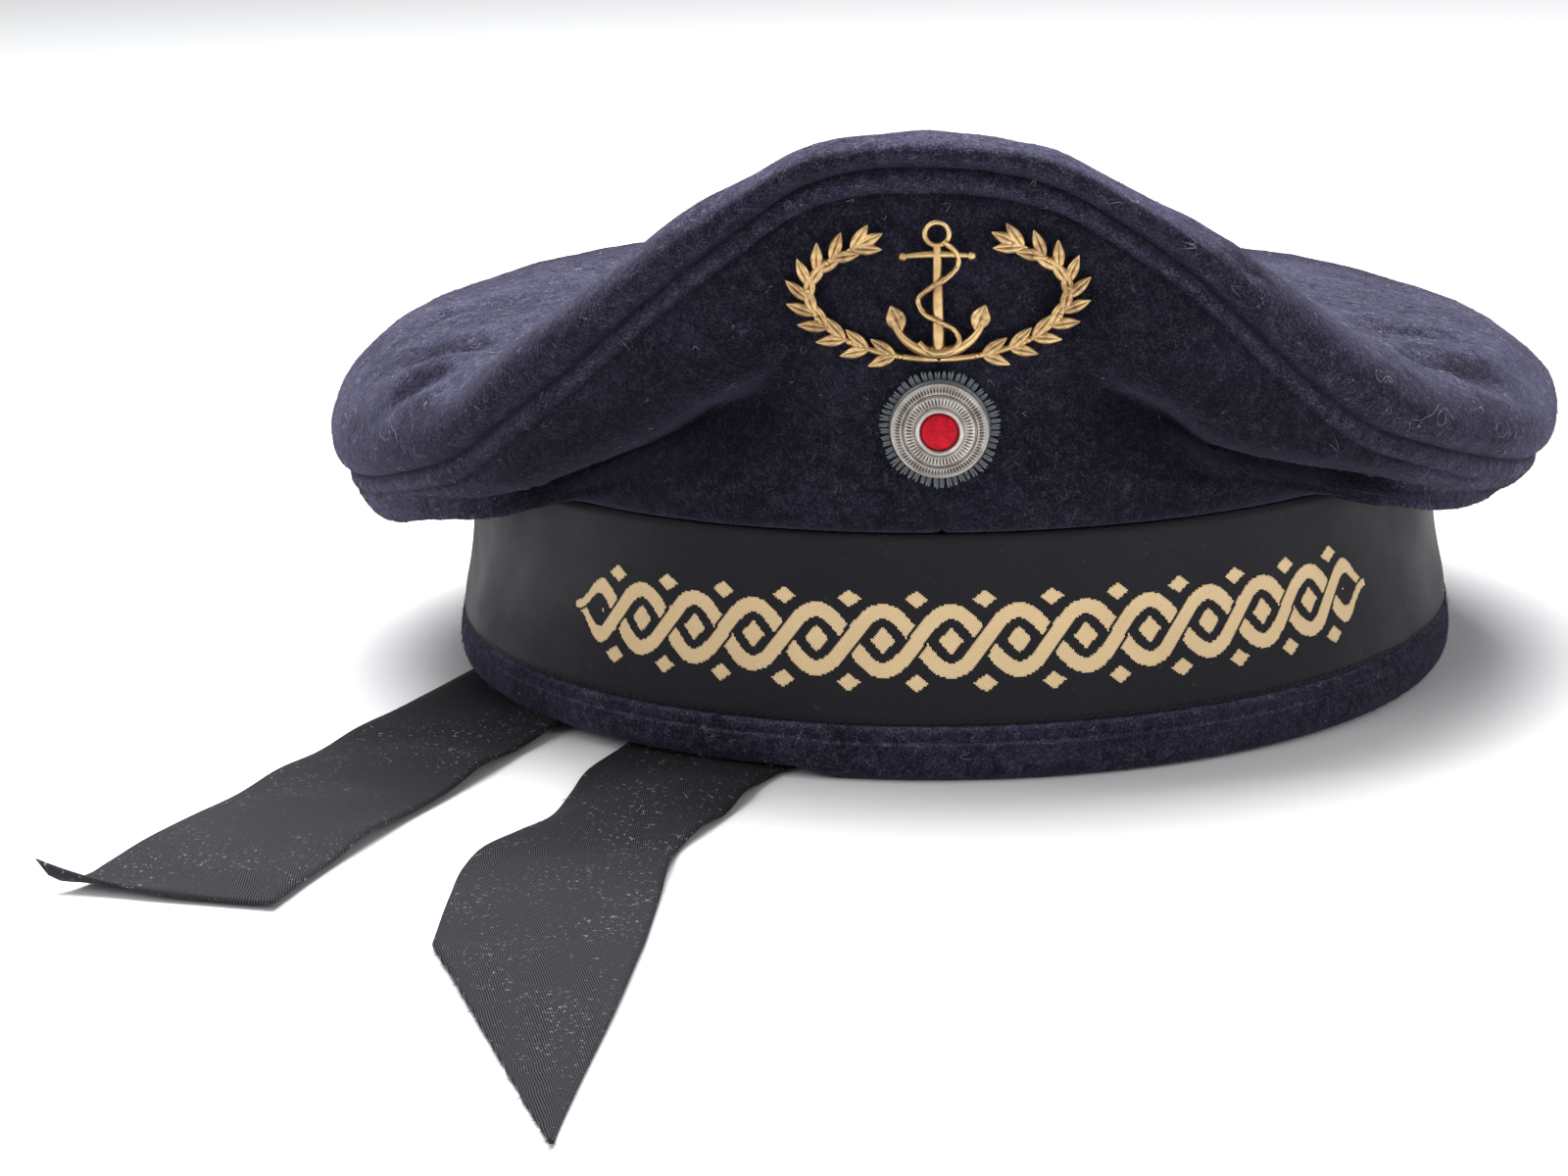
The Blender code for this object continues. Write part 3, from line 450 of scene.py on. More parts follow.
def made_piece(name, mesh, material, sharp=None):
    """A piece from a bmesh that rides on the cap, with its sharp edges from an angle in degrees."""
    piece = riding_piece(name, data_of(name, mesh), material)
    if sharp:
        piece.data.set_sharp_from_angle(angle=math.radians(sharp))
    return piece


def add_wall(piece, thickness):
    wall = piece.modifiers.new("wall", "SOLIDIFY")
    wall.thickness = thickness * MM
    wall.offset = -1.0


def cloth_piece(name, points, material, thickness, uv=None, painted_light_and_wear=None):
    mesh = bmesh.new()
    lay_grid(mesh, points, uv, painted_light_and_wear)
    piece = made_piece(name, mesh, material)
    add_wall(piece, thickness)
    return piece


def solid_piece(name, mesh, material):
    bmesh.ops.recalc_face_normals(mesh, faces=mesh.faces)
    return made_piece(name, mesh, material)


def turns_of(steps):
    """Angles once round, the last equal to the first."""
    return [math.tau * (k % steps) / steps for k in range(steps + 1)]


def add_turned(mesh, profile, segments, ridge=None):
    """Adds a turned solid to the cockade, from rows of radius, depth and whether ridge raises them."""
    lay_grid(mesh, [
        [
            on_cockade(r * math.cos(turn), r * math.sin(turn), d + (ridge(r, turn) if raised else 0.0))
            for r, d, raised in profile
        ]
        for turn in turns_of(segments)
    ])


def add_bar(mesh, path, radii, sides, twist=0.0, strands=0):
    """Adds a capped bar to the badge along points x, height, depth; strands and twist make it a rope."""
    path = [Vector(point) for point in path]
    rows, run = [], 0.0
    for k, point in enumerate(path):
        way = (path[min(k + 1, len(path) - 1)] - path[max(k - 1, 0)]).normalized()
        side = Vector((-way.y, way.x, 0.0))
        side = side.normalized() if side.length > 1e-6 else Vector((1.0, 0.0, 0.0))
        out = way.cross(side)
        run += (point - path[k - 1]).length if k else 0.0
        ring = []
        for turn in turns_of(sides):
            swell = 0.17 * abs(math.cos(strands / 2 * turn + twist * run)) - 0.08 if strands else 0.0
            radius = radii[k] * (1.0 + swell)
            ring.append(on_wall(*(point + side * radius * math.cos(turn) + out * radius * math.sin(turn))))
        rows.append(ring)
    lay_grid(mesh, rows)
    bmesh.ops.holes_fill(mesh, edges=[e for e in mesh.edges if e.is_boundary])


def add_ball(mesh, middle, radius, segments=14):
    rows = segments // 2 + 1
    ball = bmesh.ops.create_uvsphere(mesh, u_segments=segments, v_segments=rows, radius=radius)
    for vertex in ball["verts"]:
        vertex.co = put(on_wall(*(vertex.co + Vector(middle))))


def add_leaf(mesh, middle, turn, length, width, thick):
    """Adds a leaf to the badge, pointed at both ends, with a groove down its middle and veins."""
    x, z, depth = middle
    c, s = math.cos(turn), math.sin(turn)
    for vertex in bmesh.ops.create_uvsphere(mesh, u_segments=20, v_segments=10, radius=1.0)["verts"]:
        u, v, w = vertex.co
        along = u * length / 2
        across = v * width / 2 * (1.0 - 0.75 * abs(u) ** 2.4)
        veins = 0.10 * math.sin(10.0 * (u + 0.9 * abs(v))) * min(abs(v) * 4.0, 1.0)
        out = w * thick / 2 * (1.0 - (0.42 * bell(v, 0.16) - veins if w > 0 else 0.0))
        vertex.co = put(on_wall(x + along * c - across * s, z + along * s + across * c, depth + out))


# ---------------------------------------------------------------- materials

class Finish:
    """A material with its shader and short ways to add nodes to it."""

    def __init__(self, name, colour, roughness, metallic=0.0):
        self.material = bpy.data.materials.new(name)
        self.material.use_nodes = True
        self.tree = self.material.node_tree
        self.shader = self.tree.nodes["Principled BSDF"]
        self.shader.inputs["Base Color"].default_value = (*colour, 1.0)
        self.shader.inputs["Roughness"].default_value = roughness
        self.shader.inputs["Metallic"].default_value = metallic
        self.material.diffuse_color = (*colour, 1.0)

    def node(self, kind, **settings):
        node = self.tree.nodes.new(kind)
        for key, value in settings.items():
            setattr(node, key, value)
        return node

    def link(self, source, target):
        self.tree.links.new(source, target)

    def place(self, kind="Object"):
        return self.node("ShaderNodeTexCoord").outputs[kind]

    def give(self, socket, value):
        """Sets a socket to a number or a colour, or links an output to it."""
        if isinstance(value, (int, float, tuple)):
            socket.default_value = (*value, 1.0) if isinstance(value, tuple) else value
        else:
            self.link(value, socket)

    def noise(self, scale, detail=2.0, roughness=0.5, distortion=0.0):
        node = self.node("ShaderNodeTexNoise")
        names = ("Scale", "Detail", "Roughness", "Distortion")
        for name, value in zip(names, (scale, detail, roughness, distortion)):
            node.inputs[name].default_value = value
        self.link(self.place(), node.inputs["Vector"])
        return node.outputs["Fac"]

    def marked(self, name):
        """A value stored on the mesh."""
        return self.node("ShaderNodeAttribute", attribute_name=name).outputs["Fac"]

    def math(self, operation, *values, clamp=False):
        node = self.node("ShaderNodeMath", operation=operation, use_clamp=clamp)
        for socket, value in zip(node.inputs, values):
            self.give(socket, value)
        return node.outputs[0]

    def times(self, first, second):
        return self.math("MULTIPLY", first, second)

    def rest_of(self, value):
        return self.math("SUBTRACT", 1.0, value)

    def ramp(self, value, *stops):
        node = self.node("ShaderNodeValToRGB")
        while len(node.color_ramp.elements) < len(stops):
            node.color_ramp.elements.new(0.5)
        for element, (position, colour) in zip(node.color_ramp.elements, stops):
            element.position = position
            element.color = (*colour, 1.0) if isinstance(colour, tuple) else (colour, colour, colour, 1.0)
        self.link(value, node.inputs["Fac"])
        return node.outputs["Color"]

    def mix(self, share, first, second):
        node = self.node("ShaderNodeMix", data_type="RGBA")
        for socket, value in ((0, share), (6, first), (7, second)):
            self.give(node.inputs[socket], value)
        return node.outputs[2]

    def range(self, value, low, high, to_low, to_high):
        node = self.node("ShaderNodeMapRange")
        for socket, number in zip(node.inputs[1:5], (low, high, to_low, to_high)):
            socket.default_value = number
        self.link(value, node.inputs[0])
        return node.outputs[0]

    def bump(self, *heights):
        """Bumps one over another, each given as height, strength and distance in millimetres."""
        last = None
        for height, strength, distance in heights:
            node = self.node("ShaderNodeBump")
            node.inputs["Strength"].default_value = strength
            node.inputs["Distance"].default_value = distance * MM
            self.link(height, node.inputs["Height"])
            if last:
                self.link(last, node.inputs["Normal"])
            last = node.outputs["Normal"]
        self.link(last, self.shader.inputs["Normal"])

    def set(self, **inputs):
        for name, value in inputs.items():
            self.give(self.shader.inputs[name.replace("_", " ")], value)


def felted_wool():
    finish = Finish("navy_wool_cloth", (0.012, 0.012, 0.026), 0.95)
    broad = finish.noise(48.0, 3.0)
    clumps = finish.noise(420.0, 4.0, 0.6, 0.6)
    nap = finish.noise(1500.0, 3.0, 0.65, 2.2)
    # The mesh's painted light and shade mixes the wool from a painted shaded colour (dark) to a painted lit
    # colour (pale).
    painted_light_and_wear = finish.marked("painted_light_and_wear")
    mottle = finish.math("ADD", finish.times(broad, 0.45), finish.times(clumps, 0.55))
    dark = finish.ramp(mottle, (0.33, (0.0020, 0.0019, 0.0043)), (0.66, (0.0046, 0.0043, 0.0094)))
    pale = finish.ramp(mottle, (0.36, (0.0190, 0.0180, 0.0375)), (0.62, (0.0880, 0.0830, 0.1530)))
    base = finish.mix(painted_light_and_wear, dark, pale)
    speckle = finish.noise(2500.0, 2.0, 0.6)
    base = finish.mix(finish.range(speckle, 0.34, 0.50, 0.62, 0.0), base, (0.0026, 0.0024, 0.0058))
    # The pale specks show more where the wool has painted light.
    shown = finish.range(painted_light_and_wear, 0.0, 1.0, 0.05, 0.95)
    fine = finish.times(finish.ramp(speckle, (0.52, 0.0), (0.70, 1.0)), shown)
    base = finish.mix(fine, base, (0.115, 0.111, 0.165))
    curls = None
    for scale, width in ((460.0, 0.016), (760.0, 0.022), (1180.0, 0.034)):
        field = finish.math("SUBTRACT", finish.noise(scale, 1.0, 0.5, 1.1), 0.5)
        line = finish.range(finish.math("ABSOLUTE", field), 0.0, width, 1.0, 0.0)
        kept = finish.ramp(finish.noise(scale * 0.55, 2.0, 0.6), (0.50, 0.0), (0.58, 1.0))
        line = finish.times(line, kept)
        curls = finish.math("MAXIMUM", curls, line) if curls else line
    # The pale curls show more where the wool has painted light.
    shown = finish.times(curls, finish.range(painted_light_and_wear, 0.0, 0.8, 0.08, 0.90))
    base = finish.mix(shown, base, (0.20, 0.196, 0.255))
    finish.set(Base_Color=base, Roughness=finish.range(nap, 0.3, 0.7, 0.88, 1.0), Specular_IOR_Level=0.08)
    finish.set(Sheen_Weight=0.16, Sheen_Roughness=0.32, Sheen_Tint=(0.60, 0.57, 0.92))
    finish.bump(
        (broad, 0.25, 0.9), (clumps, 0.60, 0.60), (nap, 0.8, 0.26), (speckle, 0.8, 0.14), (curls, 0.5, 0.10)
    )
    return finish.material


def ribs(finish, across, along):
    """A height from 0 to 1 in rows, by how many rows a metre holds across and along the ribbon."""
    split = finish.node("ShaderNodeSeparateXYZ")
    finish.link(finish.place("UV"), split.inputs[0])
    turns = finish.math("ADD", finish.times(split.outputs[0], across), finish.times(split.outputs[1], along))
    wave = finish.math("SINE", finish.times(turns, math.tau))
    return finish.math("MULTIPLY_ADD", wave, 0.5, 0.5)


def tally_weave():
    finish = Finish("black_tally_weave", (0.011, 0.011, 0.012), 0.6)
    twill = ribs(finish, 2900.0, 700.0)
    weft = ribs(finish, 300.0, 3300.0)
    weave = finish.times(twill, finish.math("MULTIPLY_ADD", weft, 0.45, 0.55))
    cloudy = finish.noise(60.0, 3.0)
    dust = finish.ramp(finish.noise(900.0, 2.0, 0.5), (0.70, 0.0), (0.76, 1.0))
    base = finish.mix(weave, (0.0068, 0.0065, 0.0090), (0.0225, 0.0217, 0.0275))
    base = finish.mix(finish.times(cloudy, 0.20), base, (0.016, 0.016, 0.018))
    base = finish.mix(finish.times(dust, 0.35), base, (0.07, 0.07, 0.075))
    finish.set(Base_Color=base, Roughness=finish.range(cloudy, 0.3, 0.7, 0.50, 0.66))
    finish.set(Specular_IOR_Level=0.12, Sheen_Weight=0.07, Sheen_Roughness=0.4, Sheen_Tint=(0.8, 0.78, 0.95))
    finish.bump((cloudy, 0.12, 1.2), (weave, 0.45, 0.08))
    return finish.material


def tail_weave():
    finish = Finish("black_tail_weave", (0.018, 0.018, 0.019), 0.55)
    cords = ribs(finish, 2656.0, -812.0)
    picks = ribs(finish, 1150.0, 2100.0)
    weave = finish.times(cords, finish.math("MULTIPLY_ADD", picks, 0.30, 0.70))
    # Painted shadow of the cap on the tails: the pale threads fade to 38 per cent within 125 mm of the cap's
    # middle and reach full strength at 175 mm; the bump fades with them.
    from_cap = finish.node("ShaderNodeVectorMath", operation="DISTANCE")
    finish.link(finish.place(), from_cap.inputs[0])
    from_cap.inputs[1].default_value = CAP_CENTRE
    weave = finish.times(weave, finish.range(from_cap.outputs["Value"], 0.125, 0.175, 0.38, 1.0))
    cloudy = finish.noise(45.0, 3.0)
    dusty = finish.ramp(finish.noise(34.0, 2.0), (0.42, 0.1), (0.62, 1.0))
    specks = finish.times(finish.ramp(finish.noise(1300.0, 2.0, 0.6), (0.635, 0.0), (0.72, 1.0)), dusty)
    base = finish.mix(weave, (0.0055, 0.0053, 0.0064), (0.0740, 0.0715, 0.0850))
    base = finish.mix(finish.times(specks, 0.70), base, (0.42, 0.42, 0.44))
    finish.set(Base_Color=base, Roughness=finish.range(cloudy, 0.3, 0.7, 0.52, 0.66))
    finish.set(Specular_IOR_Level=0.03, Sheen_Weight=0.02, Sheen_Roughness=0.4)
    finish.bump((cloudy, 0.15, 1.2), (weave, 0.9, 0.12))
    return finish.material


def tan_thread():
    finish = Finish("tan_woven_thread", (0.70, 0.49, 0.23), 0.7)
    columns = ribs(finish, 1.0 / (THREAD * MM), BRAID_SLANT / (THREAD * MM))
    picks = ribs(finish, 0.5 / (THREAD * MM), 1.0 / (0.36 * MM))
    dots = finish.ramp(finish.times(finish.rest_of(columns), finish.rest_of(picks)), (0.38, 0.0), (0.80, 1.0))
    # Random wear of the thread, with no painted light.
    painted_light_and_wear = finish.noise(110.0, 3.0)
    base = finish.mix(painted_light_and_wear, (0.74, 0.535, 0.295), (0.88, 0.66, 0.38))
    base = finish.mix(finish.times(dots, 0.92), base, (0.24, 0.145, 0.062))
    finish.set(Base_Color=base, Roughness=0.68, Specular_IOR_Level=0.3)
    finish.set(Sheen_Weight=0.15, Sheen_Roughness=0.4)
    finish.bump((finish.rest_of(dots), 0.7, 0.10))
    return finish.material


def worn_gilt():
    finish = Finish("worn_gilt_badge", (0.55, 0.37, 0.14), 0.36, 1.0)
    cloudy = finish.noise(260.0, 4.0, 0.6)
    fine = finish.noise(2600.0, 3.0, 0.6)
    dull = finish.range(cloudy, 0.42, 0.72, 0.0, 0.55)
    grime = finish.math("ADD", finish.marked("hollow"), dull, clamp=True)
    base = finish.ramp(
        grime, (0.0, (0.66, 0.46, 0.22)), (0.45, (0.42, 0.265, 0.13)), (0.85, (0.17, 0.09, 0.046))
    )
    finish.set(Base_Color=base, Roughness=finish.range(grime, 0.0, 1.0, 0.31, 0.62))
    finish.set(Metallic=finish.range(grime, 0.3, 1.0, 1.0, 0.75))
    finish.bump((fine, 0.25, 0.05), (cloudy, 0.2, 0.15))
    return finish.material


def oxidised_silver():
    finish = Finish("oxidised_silver_disc", (0.42, 0.39, 0.36), 0.45, 0.9)
    cloudy = finish.noise(300.0, 4.0, 0.6)
    fine = finish.noise(3200.0, 3.0, 0.6)
    dull = finish.range(cloudy, 0.4, 0.75, 0.0, 0.4)
    grime = finish.math("ADD", finish.marked("hollow"), dull, clamp=True)
    base = finish.ramp(
        grime, (0.0, (0.60, 0.56, 0.52)), (0.5, (0.34, 0.31, 0.285)), (0.95, (0.075, 0.058, 0.050))
    )
    finish.set(Base_Color=base, Roughness=finish.range(grime, 0.0, 1.0, 0.36, 0.62), Metallic=0.85)
    finish.bump((fine, 0.35, 0.05))
    return finish.material


def cockade_leaves():
    finish = Finish("dark_steel_leaves", (0.03, 0.034, 0.038), 0.4, 0.6)
    fine = finish.noise(1800.0, 3.0, 0.6)
    base = finish.ramp(
        finish.marked("hollow"),
        (0.0, (0.125, 0.140, 0.150)), (0.55, (0.035, 0.040, 0.045)), (1.0, (0.010, 0.011, 0.013)),
    )
    finish.set(Base_Color=base, Roughness=finish.range(fine, 0.3, 0.7, 0.32, 0.55), Metallic=0.55)
    finish.bump((fine, 0.3, 0.06))
    return finish.material


def red_felt():
    finish = Finish("red_felt_dome", (0.62, 0.008, 0.015), 0.9)
    fibre = finish.noise(2400.0, 3.0, 0.6, 1.6)
    cloudy = finish.noise(420.0, 3.0)
    base = finish.ramp(cloudy, (0.35, (0.30, 0.002, 0.010)), (0.65, (0.62, 0.005, 0.022)))
    base = finish.mix(finish.ramp(fibre, (0.45, 0.0), (0.75, 0.45)), base, (0.90, 0.03, 0.05))
    finish.set(Base_Color=base, Roughness=0.88, Specular_IOR_Level=0.2)
    finish.set(Sheen_Weight=0.12, Sheen_Roughness=0.4, Sheen_Tint=(1.0, 0.35, 0.40))
    finish.bump((fibre, 0.7, 0.12), (cloudy, 0.4, 0.25))
    return finish.material


def loose_fibre(name, dark, light):
    finish = Finish(name, dark, 0.8)
    finish.set(Base_Color=finish.ramp(finish.noise(900.0, 1.0), (0.40, dark), (0.64, light)))
    finish.set(Specular_IOR_Level=0.25, Sheen_Weight=0.15, Sheen_Roughness=0.4)
    return finish.material


def sewing_thread():
    finish = Finish("black_sewing_thread", (0.006, 0.006, 0.007), 0.6)
    finish.bump((finish.noise(5200.0, 2.0), 0.5, 0.05))
    return finish.material


# ---------------------------------------------------------------- wool crown

def panel_of(angles, sections, closed, seed):
    """A crown panel's points, distances from the top seam, ways out, soft uneven shifts and shades."""
    lines, from_seam, ways = zip(*sections)
    points = np.array([around(angle, line) for angle, line in zip(angles, lines)])
    from_seam = np.array(from_seam)
    at_seam = np.array([spot_at(angle, *way) for angle, way in zip(angles, ways)])[:, None, :]
    share = fade(from_seam, 0.4, 3.0)[:, :, None]
    out = grid_normals(points, closed) * share + at_seam * (1.0 - share)
    shift = 0.55 * lumps(points, 21.0, seed) + 0.26 * lumps(points, 7.0, seed + 9.0)
    shift += 0.07 * lumps(points, 2.6, seed + 4.0)
    shade = np.ones_like(shift)
    for depth, reach, path in WRINKLES:
        away, along = way_to(points, path)
        depth = depth * fade(along, -0.05, 0.35) * (1.0 - fade(along, 0.60, 1.0))
        hollow, ridge = bell(away, reach), bell(away - 1.9 * reach, reach)
        shift -= depth * (hollow - 0.35 * ridge)
        shade -= depth * (0.26 * hollow - 0.07 * ridge)
    return points, from_seam, unit(out), shift, np.clip(shade, 0.3, 1.2)


def valley(away):
    """Depth of a seam's valley, sharp at its bottom and round at its sides."""
    return 0.85 * np.exp(-np.abs(away) / 0.55) + 0.55 * bell(away, 1.5)


def painted_light_share(points, closed, level, most):
    """Painted light and shade of the cloth, from 0 in painted shade to 1 in painted light: more light where it
    faces up, at the sides and towards the front.
    """
    # Faces that point up are painted lighter, as if lit from above.
    up = 0.60 * fade(grid_normals(points, closed)[:, :, 2], 0.58, 0.88)
    # The crown's wide sides are painted lighter, as if lit from the side and below.
    wide = most * fade(from_axis(points), 104.0, 109.0)
    wide *= fade(np.abs(np.degrees(np.arctan2(points[:, :, 0], -points[:, :, 1]))), 50.0, 80.0)
    # The painted light is toned down towards the back.
    to_back = 1.0 - 0.6 * fade(points[:, :, 1], 15.0, 60.0)
    return (level + (1.0 - level) * np.maximum(up, wide)) * to_back


def top_panel():
    angles = np.linspace(-180.0, 180.0, 361)
    points, from_seam, out, shift, shade = panel_of(angles, map(top_section, angles), True, 3.0)
    shift *= fade(from_seam, 1.0, 12.0)
    shift -= valley(from_seam)
    shift += 0.60 * bell(from_seam - 3.8, 2.4) * fade(from_seam, 0.0, 1.5)
    shift[:, -1] = shift[0, -1]
    shift[-1] = shift[0]
    out[:, -1] = (0.0, 0.0, 1.0)
    points = points + out * shift[:, :, None]
    # Painted light and shade: darker in the seam's valley and in the wrinkles, lighter on their ridges; the
    # middle is fully lit.
    painted_light_and_wear = painted_light_share(points, True, 0.21, 0.5) * (1.0 - 0.8 * bell(from_seam, 0.9)) * shade
    painted_light_and_wear[:, -1] = 1.0
    return points, painted_light_and_wear


def side_panel(first, last):
    """One side of the crown: its seam to the top, the row of stitching below that, and the centre seams."""
    middle = math.degrees(FRONT_MIDDLE / 104.0)
    start, stop = (middle if edge == 0.0 else edge for edge in (first, last))
    between = np.arange(start + 3.4, stop - 3.2, 0.9)
    angles = np.concatenate([start + BY_END_SEAM, between, (stop - BY_END_SEAM)[::-1]])
    points, from_seam, out, shift, shade = panel_of(angles, map(side_section, angles), False, 5.0)
    angle = np.broadcast_to(angles[:, None], from_seam.shape)
    round_way = np.stack([np.cos(np.radians(angle)), np.sin(np.radians(angle)), np.zeros_like(angle)], 2)
    beside = np.minimum(angle - start, stop - angle) * math.pi / 180.0 * from_axis(points)
    out = unit(out - round_way * ((out * round_way).sum(2) * (1.0 - fade(beside, 0.3, 3.0)))[:, :, None])
    from_band = from_seam[:, :1] - from_seam
    shift *= fade(from_seam, 1.0, 10.0) * fade(beside, 0.0, 2.5) * fade(from_band, 6.0, 18.0)
    shift -= valley(from_seam)
    sewn = 0.12 + 0.88 * fade(angle, -84.0, -48.0) * (1.0 - fade(angle, 46.0, 74.0))
    shift -= 0.72 * sewn * valley(from_seam - SECOND_SEAM)
    shift += sewn * 0.55 * bell(from_seam - 2.3, 1.3) * fade(from_seam, 0.0, 1.5)
    shift -= 0.62 * np.exp(-beside / 0.42) * fade(from_seam, 3.6, 5.0)
    lips = np.array([crown_row(turn)[2] for turn in angles])[:, None, :]
    # Painted shade in the hollow under the lip, weaker at the sides.
    below = fade(lips[:, :, 1] - points[:, :, 2], -1.0, 2.0)
    aside = fade(np.abs(angle), 40.0, 58.0)
    hollow = fade(lips[:, :, 0] - from_axis(points), 1.5, 9.0) * below * (1.0 - 0.8 * aside)
    points = points + out * shift[:, :, None]
    # Painted shade in the valleys of the top seam and the second seam.
    sewn = bell(from_seam, 0.9) + 0.8 * sewn * bell(from_seam - SECOND_SEAM, 0.8)
    # Painted shade where the panel tucks in under the lip at the front.
    tucked = (1.0 - fade(points[:, :, 2] - lips[:, :, 1], 0.0, 9.0)) * fade(from_axis(points), 99.0, 101.0)
    tucked *= (1.0 - fade(np.abs(angle), 42.0, 62.0)) * fade(np.abs(angle), 8.0, 16.0)
    # Painted light and shade of the panel: a higher level between the two seams, a lower one below the second
    # seam, less where tucked and none in the hollow; at the sides, where the panel stands out past 95 mm, it
    # is raised as painted light.
    level = (0.09 + 0.20 * (1.0 - fade(from_seam, 3.6, 4.8)) - 0.06 * tucked) * (1.0 - hollow)
    level = np.maximum(level, 0.42 * aside * fade(from_axis(points), 95.0, 99.0))
    # The panel's painted light, with painted shade in the seams, the hollow and the wrinkles.
    return points, painted_light_share(points, False, level, 1.0) * (1.0 - 0.8 * sewn) * (1.0 - 0.7 * hollow) * shade


# ---------------------------------------------------------------- band and ribbons

def rim_lift(angle):
    lift = 0.0
    for first, last in RIM_LIFTS:
        for turned in (angle, angle + 360.0):
            inside = min(turned - first, last - turned) / 5.0
            lift = max(lift, min(max(inside, 0.0), 1.0))
    return TAIL_CLEARANCE * lift * lift * (3.0 - 2.0 * lift)


def headband_rows():
    """The wool band in section all round: welt, outside, inside and the flat of the rim."""
    outer, inner = 0.8 + GAP, 0.8 + GAP + BAND_WALL
    run = runs(np.array(WELT)[:, :2])
    welt = smooth_through(np.column_stack([run, WELT]), np.linspace(0.0, run[-1], 34))
    loop = [tuple(row) for row in welt]
    loop += [(outer + inset, height, 0.0) for height, inset in FLARE]
    loop += [(inner + inset, height, 0.0) for height, inset in reversed(FLARE)]
    loop += [(inner + 0.7, 0.5, 0.0), (inner + 0.4, 0.0, 0.0), loop[0]]
    rows = []
    for angle in np.linspace(-180.0, 180.0, 541):
        head, lift = head_radius(angle), rim_lift(angle)
        front = max(math.cos(math.radians(angle)), 0.0) ** 2
        row = []
        for inset, z, bulge in loop:
            raised = z + lift * max(1.0 - z / WELT_HEIGHT, 0.0)
            out = head - inset + bulge * front
            if inset < 1.0 and z < 8.8:
                at = Vector(spot_at(angle, out, z))
                out += (0.16 * noise.noise(at / 9.0) + 0.10 * noise.noise(at / 3.2)) * min(z, 1.0)
            row.append(spot_at(angle, out, raised))
        rows.append(row)
    rows[-1] = rows[0]
    return rows


def tally_place(angle, height, out=0.0):
    return spot_at(angle, head_radius(angle) - ribbon_inset(height) + out, height)


def arc_lengths(angles):
    run = runs([tally_place(angle, 24.0) for angle in angles])
    return run - np.interp(0.0, angles, run)


def softness(angle, height):
    return 0.14 * noise.noise(Vector(tally_place(angle, height)) / 16.0)


def tally_rows():
    angles = np.linspace(-180.0, 180.0, 481)
    heights = np.concatenate([[9.15, 9.35, 9.7, 10.2], np.linspace(11.0, BAND_HEIGHT, 19)])
    rows = []
    for angle in angles:
        row = []
        for z in heights:
            puckered = -0.16 * bell(z - 9.3, 0.9) * (0.6 + 0.4 * math.cos(math.radians(angle) * 150))
            rolled = -0.28 * bell(z - 9.0, 0.35)
            row.append(tally_place(angle, z, puckered + rolled + softness(angle, z)))
        rows.append(row)
    rows[-1] = rows[0]
    return rows, [[(u, z) for z in heights] for u in arc_lengths(angles)]


def braid_shape(u, v, length):
    """True where the band has tan thread: two waves that pass over and under each other, and lozenges."""
    loop = length / BRAID_LOOPS
    phase = u / loop * math.pi
    ease = np.minimum(fade(u, 0.0, loop * 0.75), fade(length - u, 0.0, loop * 0.75))
    height = BRAID_HALF_HEIGHT * ease
    one, two = height * np.sin(phase), -height * np.sin(phase)
    steep = np.sqrt(1.0 + (height * math.pi / loop * np.cos(phase)) ** 2)
    half = BRAID_STRAND / 2 * (0.55 + 0.45 * ease)
    on_one, on_two = np.abs(v - one) / steep < half, np.abs(v - two) / steep < half
    near_one, near_two = np.abs(v - one) / steep < half + 0.55, np.abs(v - two) / steep < half + 0.55
    crossing = np.round(u / loop).astype(int) % 2 == 0
    strands = np.where(crossing, on_one | (on_two & ~near_one), on_two | (on_one & ~near_two))
    eye = np.abs((u / loop) % 1.0 - 0.5) * loop / 2.1 + np.abs(v) / 2.3 < 1.0
    eye &= (np.abs(v - one) / steep > half + 0.6) & (np.abs(v - two) / steep > half + 0.6) & (ease > 0.95)
    aside = 0.5 - np.abs((u / loop) % 1.0 - 0.5)
    outer = np.abs(np.abs(v) - (BRAID_HALF_HEIGHT + 2.1)) / 1.5 + aside * loop / 2.0 < 1.0
    outer &= (u > loop * 0.4) & (u < length - loop * 0.4)
    return (strands & (u > 0.4) & (u < length - 0.4)) | eye | outer


def woven_braid(material):
    """The tan band, thread by thread: a slanted grid of floats, kept where the pattern has thread."""
    fine = np.linspace(BRAID_FROM, BRAID_TO, 400)
    run = arc_lengths(fine)
    first, last = run[0], run[-1]
    columns, rows = int((last - first) / THREAD), int(BRAID_TALL / THREAD)

    def spread(x, y):
        """How far along and up the band a place of the grid is."""
        up = y * rows * THREAD / 2
        return (x + 1.0) / 2.0 * columns * THREAD - BRAID_SLANT * up, up

    mesh = bmesh.new()
    layer = mesh.loops.layers.uv.verify()
    bmesh.ops.create_grid(mesh, x_segments=columns, y_segments=rows, size=1.0)
    middles = np.array([face.calc_center_median()[:2] for face in mesh.faces])
    keep = braid_shape(*spread(*middles.T), last - first)
    gone = [face for face, kept in zip(mesh.faces, keep) if not kept]
    bmesh.ops.delete(mesh, geom=gone, context="FACES")
    for vertex in mesh.verts:
        u, v = spread(vertex.co.x, vertex.co.y)
        u += first
        for loop in vertex.link_loops:
            loop[layer].uv = Vector((u, v)) * MM
        past = u - min(max(u, first), last)
        angle = float(np.interp(u, run, fine)) + past / BRAID_RADIUS * 57.3
        height = BRAID_MIDDLE + v
        vertex.co = put(tally_place(angle, height, 0.13 + softness(angle, height)))
    add_wall(made_piece("tally_braid", mesh, material), BRAID_THICK)


